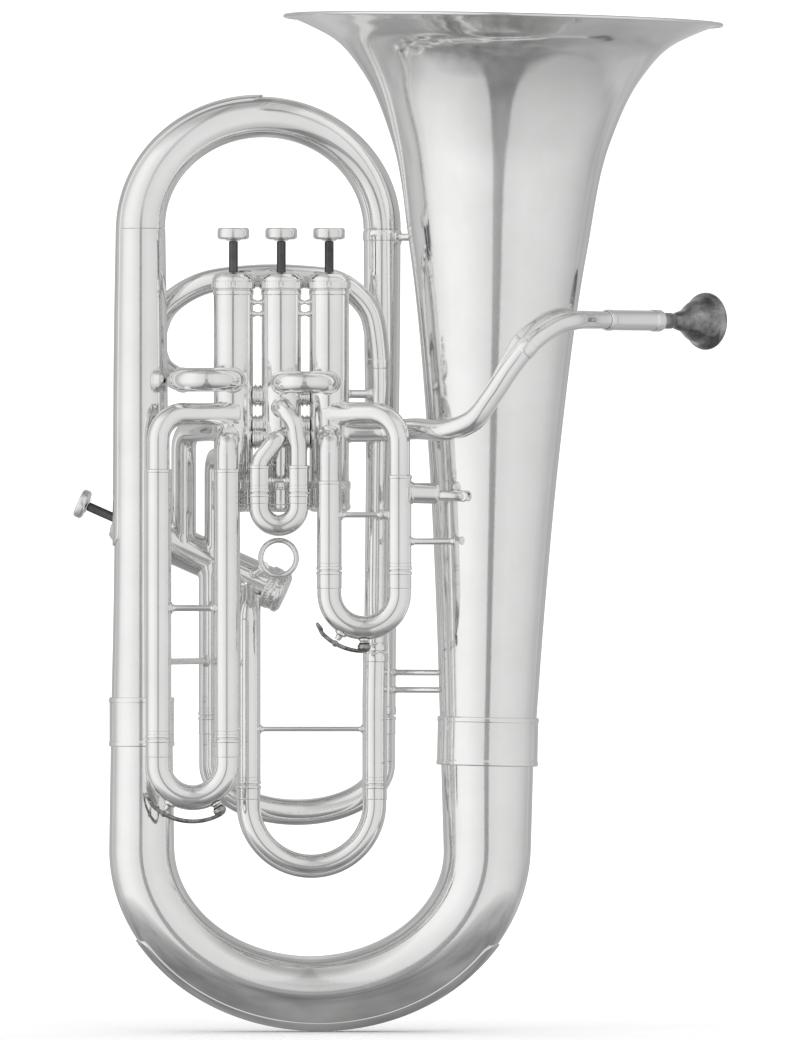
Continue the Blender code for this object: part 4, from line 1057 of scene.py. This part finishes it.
def make_water_key(slide, crook, spec, touch, pivot, pad):
    """A lever under a bow: touch piece at one end, hinge on its post, cork over the drain nipple."""
    (left, right), y = spec["legs"], spec["y"][0]
    centre = Vector(((left + right) / 2, y, spec["bow"]))
    skin = spec["drop"] + spec["radius"]
    arm = skin + KEY_LIFT
    hinge = polar(centre, arm, pivot)
    out = (hinge - centre).normalized()
    post = ((0.0, -3.2), (4.4, -1.6), (4.4, 0.2), (2.4, 1.2), (2.0, KEY_LIFT - 3.0), (0.0, KEY_LIFT - 2.8))
    crook.turn(softened(post, 0.4), polar(centre, skin, pivot), out, 32)
    nipple = ((1.5, -2.0), (4.0, -2.0), (3.9, 0.1), (3.0, 0.5), (2.8, 1.35), (1.5, 1.35))
    outward = polar(centre, 1.0, pad) - centre
    crook.turn(softened(nipple, 0.2), polar(centre, skin, pad), outward, 40)

    steps = 30
    path = []
    for k in range(steps + 1):
        angle = touch + (pad - touch) * k / steps
        dip = 1.3 * max(0.0, 1.0 - k / 5.0)**2
        path.append((polar(centre, arm - dip, angle), polar(Vector(), 1.0, angle + 90.0)))
    key = Shape()
    key.bar(path, 1.35, 20, taper=lambda share: 1.15 - 0.3 * abs(share - 0.45))
    barrel = ((0.0, -4.3), (1.2, -4.3), (1.5, -3.9), (1.5, -3.6), (2.3, -3.5), (2.3, 3.5), (1.5, 3.6),
              (1.5, 3.9), (1.2, 4.3), (0.0, 4.3))
    key.turn(softened(barrel, 0.25), hinge, Y_AXIS, 36)
    cup = ((0.0, 1.4 + GAP + 1.4), (3.6, 1.4 + GAP + 1.4), (4.5, 1.4 + GAP + 0.9), (4.6, KEY_LIFT - 2.0),
           (3.4, KEY_LIFT - 0.2), (1.8, KEY_LIFT + 0.9), (0.0, KEY_LIFT + 1.1))
    key.turn(softened(cup, 0.4), polar(centre, skin, pad), outward, 40)
    away = polar(centre, 1.0, touch) - centre
    paddle = ((0.0, KEY_LIFT - 2.9), (2.9, KEY_LIFT - 2.7), (3.7, KEY_LIFT - 1.8), (3.4, KEY_LIFT - 0.8),
              (1.8, KEY_LIFT + 0.1), (0.0, KEY_LIFT + 0.3))
    key.turn(softened(paddle, 0.4), polar(centre, skin, touch), away, 40)
    plated(f"{slide}_water_key", key, KEY_METAL)
    cork = ((0.0, 1.4 + GAP * 0.4), (3.5, 1.4 + GAP * 0.4), (3.6, 1.9), (3.6, 3.4), (0.0, 3.4))
    finish(f"{slide}_key_cork", Shape().turn(softened(cork, 0.2), polar(centre, skin, pad), outward, 40),
           CORK, "silver_plate", f"{slide}_water_key")


def make_slides():
    crooks = {name: make_crook(spec) for name, spec in SLIDES.items()}
    make_slide_1()
    make_slide_2()
    make_slide_3()
    make_slide_4()
    make_main_slide()
    make_water_key("slide_1", crooks["slide_1"], SLIDES["slide_1"], -143.0, -120.0, -90.0)
    make_water_key("slide_3", crooks["slide_3"], SLIDES["slide_3"], -143.0, -120.0, -60.0)
    for name, shape in crooks.items():
        plated(f"{name}_crook", shape)


# Fixed tubing between the valves ---------------------------------------------------------------

def even_tube(shape, samples, radius, ends=(None, None)):
    length = marks_of(samples)[-1]
    stations = ((0.0, radius, radius - WALL), (length, radius, radius - WALL))
    return shape.tube(samples, stations, ends=ends)


def make_links():
    arch = even_tube(Shape(), flowing(ARCH_ROUTE), 8.0)
    arch.bead(Vector((42.25, 8.2, 265.9)), Z_AXIS, 8.0, 6.0, 0.5)
    arch.bead(Vector((44.2, 10.0, 462.0)), Z_AXIS, 8.0, 7.0, 0.45)
    arch.strut((VALVE_1_X + 12.0, -5.6, 441.0), (37.0, 4.6, 441.0), 3.0, 1.5)
    plated("arch_tube", arch)

    height = ARCH_ROUTE[-1][2]
    left = bent((-91.0, 4.4, height), (-91.0, -44.5, height, 17.0), (-56.6, -44.5, height, 17.0),
                (-56.6, -25.0, height))
    shape = even_tube(Shape(), left, 8.3, ends=(None, casing_of("valve_3")))
    shape.bead(Vector((-91.0, 1.2, height)), Y_AXIS, 8.3, 5.0, 0.45)
    shape.bead(Vector((-91.0, -26.0, height)), Y_AXIS, 8.3, 1.6, 0.4)
    plated("left_front_bend", shape)
    right = bent((-22.0, -25.0, 448.8), (-22.0, -46.0, 448.8, 15.0), (9.7, -46.0, 448.8, 15.0),
                 (9.7, -25.0, 448.8))
    shape = even_tube(Shape(), right, 7.6, ends=(casing_of("valve_2"), casing_of("valve_1")))
    plated("right_front_bend", shape)

    side, third = casing_of("valve_4"), casing_of("valve_3")
    long_link = bent((-90.9, 28.0, 352.0), (-90.9, 28.0, 417.0, 14.0), (-67.0, -5.6, 417.0))
    plated("long_link_tube", even_tube(Shape(), long_link, 8.6, ends=(side, third)))
    short_link = bent((-69.5, 25.0, 343.0), (-69.5, 25.0, 398.0, 11.0), (-61.5, -4.6, 398.0))
    plated("short_link_tube", even_tube(Shape(), short_link, 7.0, ends=(side, third)))

    for valve, x, high, low in REAR_LOOPS:
        samples = bent((x, -5.0, high), (x, REAR_LOOP_Y, high, 12.0), (x, REAR_LOOP_Y, low, 12.0),
                       (x, -5.0, low))
        shape = even_tube(Shape(), samples, 6.4, ends=(casing_of(valve), casing_of(valve)))
        plated(f"{valve}_rear_loop", shape)


def make_thumb_ring():
    centre = Vector((-24.8, -11.0, 327.5))
    major, wire = 12.3, 1.9
    outline = [(major + wire * math.cos(math.tau * k / 20), 1.25 * wire * math.sin(math.tau * k / 20))
               for k in range(20)]
    shape = Shape().turn(outline, centre, Y_AXIS, 80)
    shape.strut((-35.2, -10.6, 321.4), (-41.6, 15.2, 317.0), 2.4, 1.6)
    plated("thumb_ring", shape)


# Mouthpipe -----------------------------------------------------------------------------------

def make_mouthpipe():
    samples = flowing(LEADPIPE_ROUTE)
    length = marks_of(samples)[-1]
    stations = ((0.0, 7.6, 6.8), (length * 0.62, 7.0, 6.2), (length, 6.0, 5.2))
    pipe = Shape().tube(samples, stations, ends=(casing_of("valve_1"), None))
    marks = marks_of(samples)
    for share, width, proud in ((0.635, 9.0, 0.55), (0.12, 6.0, 0.4)):
        place, heading = place_at(samples, marks, length * share)
        pipe.bead(place, heading, value_at(stations, length * share)[0], width, proud)
    pipe.strut((166.0, -43.4, 487.8), bell_side(489.0, 40.0, -40.0), 3.0, 1.8)
    plated("leadpipe", pipe)

    receiver = ((6.15, -RECEIVER_LENGTH), (7.1, -RECEIVER_LENGTH), (7.4, -RECEIVER_LENGTH + 1.0),
                (7.4, -RECEIVER_LENGTH + 4.5), (7.1, -RECEIVER_LENGTH + 5.2), (7.1, -8.6), (7.7, -7.6),
                (7.7, -1.2), (7.2, 0.0), (6.0, 0.0), (6.0, -24.0), (6.15, -34.0))
    plated("mouthpiece_receiver", Shape().turn(softened(receiver, 0.5), RECEIVER_END, MOUTH_AXIS, 64))

    outside = smooth_curve(((5.65, 10.0), (5.1, 12.5), (6.2, 17.0), (8.2, 24.0), (13.8, 33.5), (17.2, 41.0),
                            (19.4, 43.8), (20.0, 45.4), (19.8, 46.8), (17.6, 48.2), (14.2, 47.6),
                            (12.9, 45.0), (10.6, 34.0), (3.6, 23.0), (3.2, 20.0), (3.4, 14.0)), 6)
    outline = [(4.9, -22.0), (5.65, 1.0), *outside, (4.1, -22.0)]
    plated("mouthpiece", Shape().turn(outline, RECEIVER_END, MOUTH_AXIS, 128), MOUTH, "mouthpiece_silver")


# Studio --------------------------------------------------------------------------------------

# Brightness of the two lit walls by compass angle, in steps of 20 degrees from behind the object on
# the left, past the front at the middle, to behind it on the right.
TENT = (0.70, 0.66, 0.70, 0.74, 0.91, 0.945, 0.94, 0.90, 0.85,
        0.84, 0.86, 0.85, 0.83, 0.80, 0.74, 0.67, 0.66, 0.78)
TENT_START, TENT_STEP = -170.0, 20.0
ROOM = 0.61                     # what lies between and below the lit walls
LIT_WALLS = ((-60.5, 52.8), (60.5, 57.3))          # compass angle of the middle, half width
WALL_FOOT = -0.93               # sine of the angle below the horizon where the lit walls end
MIRROR_SHARE = 0.91             # what the silver plate gives back of the light that falls on it
OPEN_GLOW = 1.3                 # the tent as the camera and matt surfaces see it
SHADE_RADIUS = 450.0
SHADE_SIDES = 64
CAMERA_LENS = 600.0
CAMERA_PLACE = (0.0592, -12.0, 0.3538)             # metres


def linear(value):
    return ((value + 0.055) / 1.055)**2.4


def ramp_of(nodes, share, rows):
    """A colour ramp through (place, brightness) rows."""
    ramp = nodes.add("ShaderNodeValToRGB", {"Fac": share})
    stops = ramp.color_ramp.elements
    stops.remove(stops[-1])
    for number, (place, value) in enumerate(sorted(rows)):
        stop = stops[0] if number == 0 else stops.new(place)
        stop.position = place
        stop.color = (linear(value),) * 3 + (1.0,)
    return ramp.outputs["Color"]


def lit_wall(nodes, compass, height, middle, half):
    """1 inside a tall lit wall with rounded lower corners, 0 outside it."""
    off = nodes.sum(compass, math.radians(middle), "SUBTRACT")
    across = nodes.sum(nodes.sum(off, 0.0, "ABSOLUTE"), math.radians(half), "DIVIDE")
    down = nodes.sum(nodes.sum(height, WALL_FOOT, "DIVIDE"), 0.0, "MAXIMUM")
    spread = nodes.sum(nodes.sum(across, 5.0, "POWER"), nodes.sum(down, 2.6, "POWER"))
    return nodes.spread(spread, 1.0, 0.0, 0.95, 1.05)


def tent_light(nodes):
    """The tent's brightness in every direction: two lit walls and the darker room round them."""
    ray = nodes.add("ShaderNodeTexCoord").outputs["Generated"]
    parts = nodes.add("ShaderNodeSeparateXYZ", {0: ray})
    height = parts.outputs[2]
    compass = nodes.sum(parts.outputs[0], nodes.sum(parts.outputs[1], -1.0, "MULTIPLY"), "ARCTAN2")
    share = nodes.sum(nodes.sum(compass, 1.0 / math.tau, "MULTIPLY"), 0.5)
    behind = (TENT[0] + TENT[-1]) / 2
    rows = [((TENT_START + TENT_STEP * k + 180.0) / 360.0, value) for k, value in enumerate(TENT)]
    walls = ramp_of(nodes, share, [(0.0, behind), (1.0, behind), *rows])
    back = [(0.0, behind), (0.06, TENT[1]), (0.2, TENT[3]), (0.3, ROOM), (0.7, ROOM), (0.8, TENT[-4]),
            (0.94, TENT[-2]), (1.0, behind)]
    room = ramp_of(nodes, share, back)
    masks = [lit_wall(nodes, compass, height, middle, half) for middle, half in LIT_WALLS]
    mask = nodes.sum(masks[0], masks[1], "MAXIMUM")

    # The room is darker and uneven towards the floor, and paler in front just above the horizon.
    low = nodes.spread(height, 0.62, 1.0, -0.97, -0.4)
    clutter = nodes.spread(nodes.noise(ray, 3.0, 2.0, 0.5), 0.86, 1.14, 0.35, 0.65)
    front = nodes.spread(nodes.sum(compass, 0.0, "ABSOLUTE"), 1.0, 0.0, 0.35, 0.6)
    above = nodes.sum(front, nodes.spread(height, 0.0, 0.2, 0.05, 0.13), "MULTIPLY")
    room = nodes.sum(nodes.sum(room, nodes.sum(low, clutter, "MULTIPLY"), "MULTIPLY"), above)

    # The walls fade towards their feet, and everything is dimmer overhead.
    walls = nodes.sum(walls, nodes.spread(height, 0.6, 1.0, -0.95, -0.35), "MULTIPLY")
    high = nodes.spread(height, 1.0, 0.56, 0.7, 0.93)
    tent = nodes.blend(mask, room, walls)
    return nodes.sum(nodes.sum(tent, high, "MULTIPLY"), 1.0 / MIRROR_SHARE, "MULTIPLY")


def make_world():
    """A white tent: mirrors see its lit walls and dark room, everything else sees an even glow."""
    world = bpy.data.worlds.new("studio_tent")
    world.use_nodes = True
    bpy.context.scene.world = world
    world.node_tree.nodes.clear()
    nodes = Nodes(world.node_tree)
    light = tent_light(nodes)
    path = nodes.add("ShaderNodeLightPath")
    for kind in ("Is Diffuse Ray", "Is Camera Ray"):
        light = nodes.blend(path.outputs[kind], light, OPEN_GLOW)
    background = nodes.add("ShaderNodeBackground", {"Color": light, "Strength": 1.0})
    nodes.add("ShaderNodeOutputWorld", {"Surface": background.outputs[0]})


def make_shade():
    """A grey patch of painted shade under the object, glowing, that only its mirror surfaces see, as they
    do a real floor.
    """
    shape = Shape()
    rings = [shape.ring(Z_AXIS * drop, X_AXIS, Y_AXIS, SHADE_RADIUS, SHADE_SIDES) for drop in (-6.0, -7.0)]
    shape.skin(rings)
    for ring in rings:
        shape.lid(ring)
    shade = plain_object("floor_shade", shape)
    made = bpy.data.materials.new("floor_shade_grey")
    made.use_nodes = True
    made.node_tree.nodes.clear()
    nodes = Nodes(made.node_tree)
    place = nodes.add("ShaderNodeTexCoord").outputs["Object"]
    away = nodes.add("ShaderNodeVectorMath", {0: place}, operation="LENGTH").outputs["Value"]
    # Painted shade: the grey glow that mirrors see in place of the floor near the object.
    grey = nodes.mix(nodes.spread(nodes.noise(place, 11.0, 3.0, 0.5), 0.0, 1.0), (0.15,) * 3, (0.34,) * 3)
    glow = nodes.add("ShaderNodeEmission", {"Color": grey}).outputs[0]
    clear = nodes.add("ShaderNodeBsdfTransparent").outputs[0]
    edge = nodes.spread(away, 0.0, 1.0, 0.06, 0.44)
    both = nodes.add("ShaderNodeMixShader", {0: edge, 1: glow, 2: clear}).outputs[0]
    nodes.add("ShaderNodeOutputMaterial", {"Surface": both})
    shade.data.materials.append(made)
    shade.visible_camera = False
    shade.visible_diffuse = False
    shade.visible_shadow = False


def make_floor():
    """A wide, flat, pale sheet with rounded corners, under the object."""
    shape = Shape()
    half, corner, count = 1500.0, 400.0, 12
    ring = []
    for cx, cy, start in ((1, 1, 0), (-1, 1, 90), (-1, -1, 180), (1, -1, 270)):
        for k in range(count + 1):
            angle = math.radians(start + 90.0 * k / count)
            ring.append(Vector((cx * (half - corner) + corner * math.cos(angle),
                                cy * (half - corner) + corner * math.sin(angle), 0.0)))
    for drop in (-0.4, -4.4):
        shape.verts += [point + Z_AXIS * drop for point in ring]
    count = len(ring)
    upper, lower = list(range(count)), list(range(count, 2 * count))
    shape.skin([upper, lower])
    shape.lid(upper)
    shape.lid(lower)
    floor = plain_object("floor", shape)
    made, nodes, shader = start_material("pale_floor")
    place = nodes.add("ShaderNodeTexCoord").outputs["Object"]
    mottle = nodes.noise(place, 3.0, 3.0, 0.5)
    nodes.tree.links.new(nodes.mix(nodes.spread(mottle, 0.0, 1.0), (0.9, 0.9, 0.9), (0.93, 0.93, 0.93)),
                         shader.inputs["Base Color"])
    shader.inputs["Roughness"].default_value = 0.9
    shader.inputs["Specular IOR Level"].default_value = 0.0
    floor.data.materials.append(made)
    floor.visible_glossy = False


def make_camera():
    data = bpy.data.cameras.new("camera")
    data.lens = CAMERA_LENS
    data.sensor_width = 36.0
    data.sensor_fit = "AUTO"
    data.clip_end = 100.0
    camera = bpy.data.objects.new("camera", data)
    bpy.context.scene.collection.objects.link(camera)
    camera.location = CAMERA_PLACE
    camera.rotation_euler = (math.radians(90.0), 0.0, 0.0)
    bpy.context.scene.camera = camera


def main():
    make_bell()
    make_bottom_bow()
    make_branches()
    for name, (base, axis, spec) in VALVES.items():
        make_valve(name, base, axis, spec)
    make_slides()
    make_links()
    make_thumb_ring()
    make_mouthpipe()
    make_world()
    make_floor()
    make_shade()
    make_camera()
    bpy.context.scene.view_settings.view_transform = "Standard"


main()
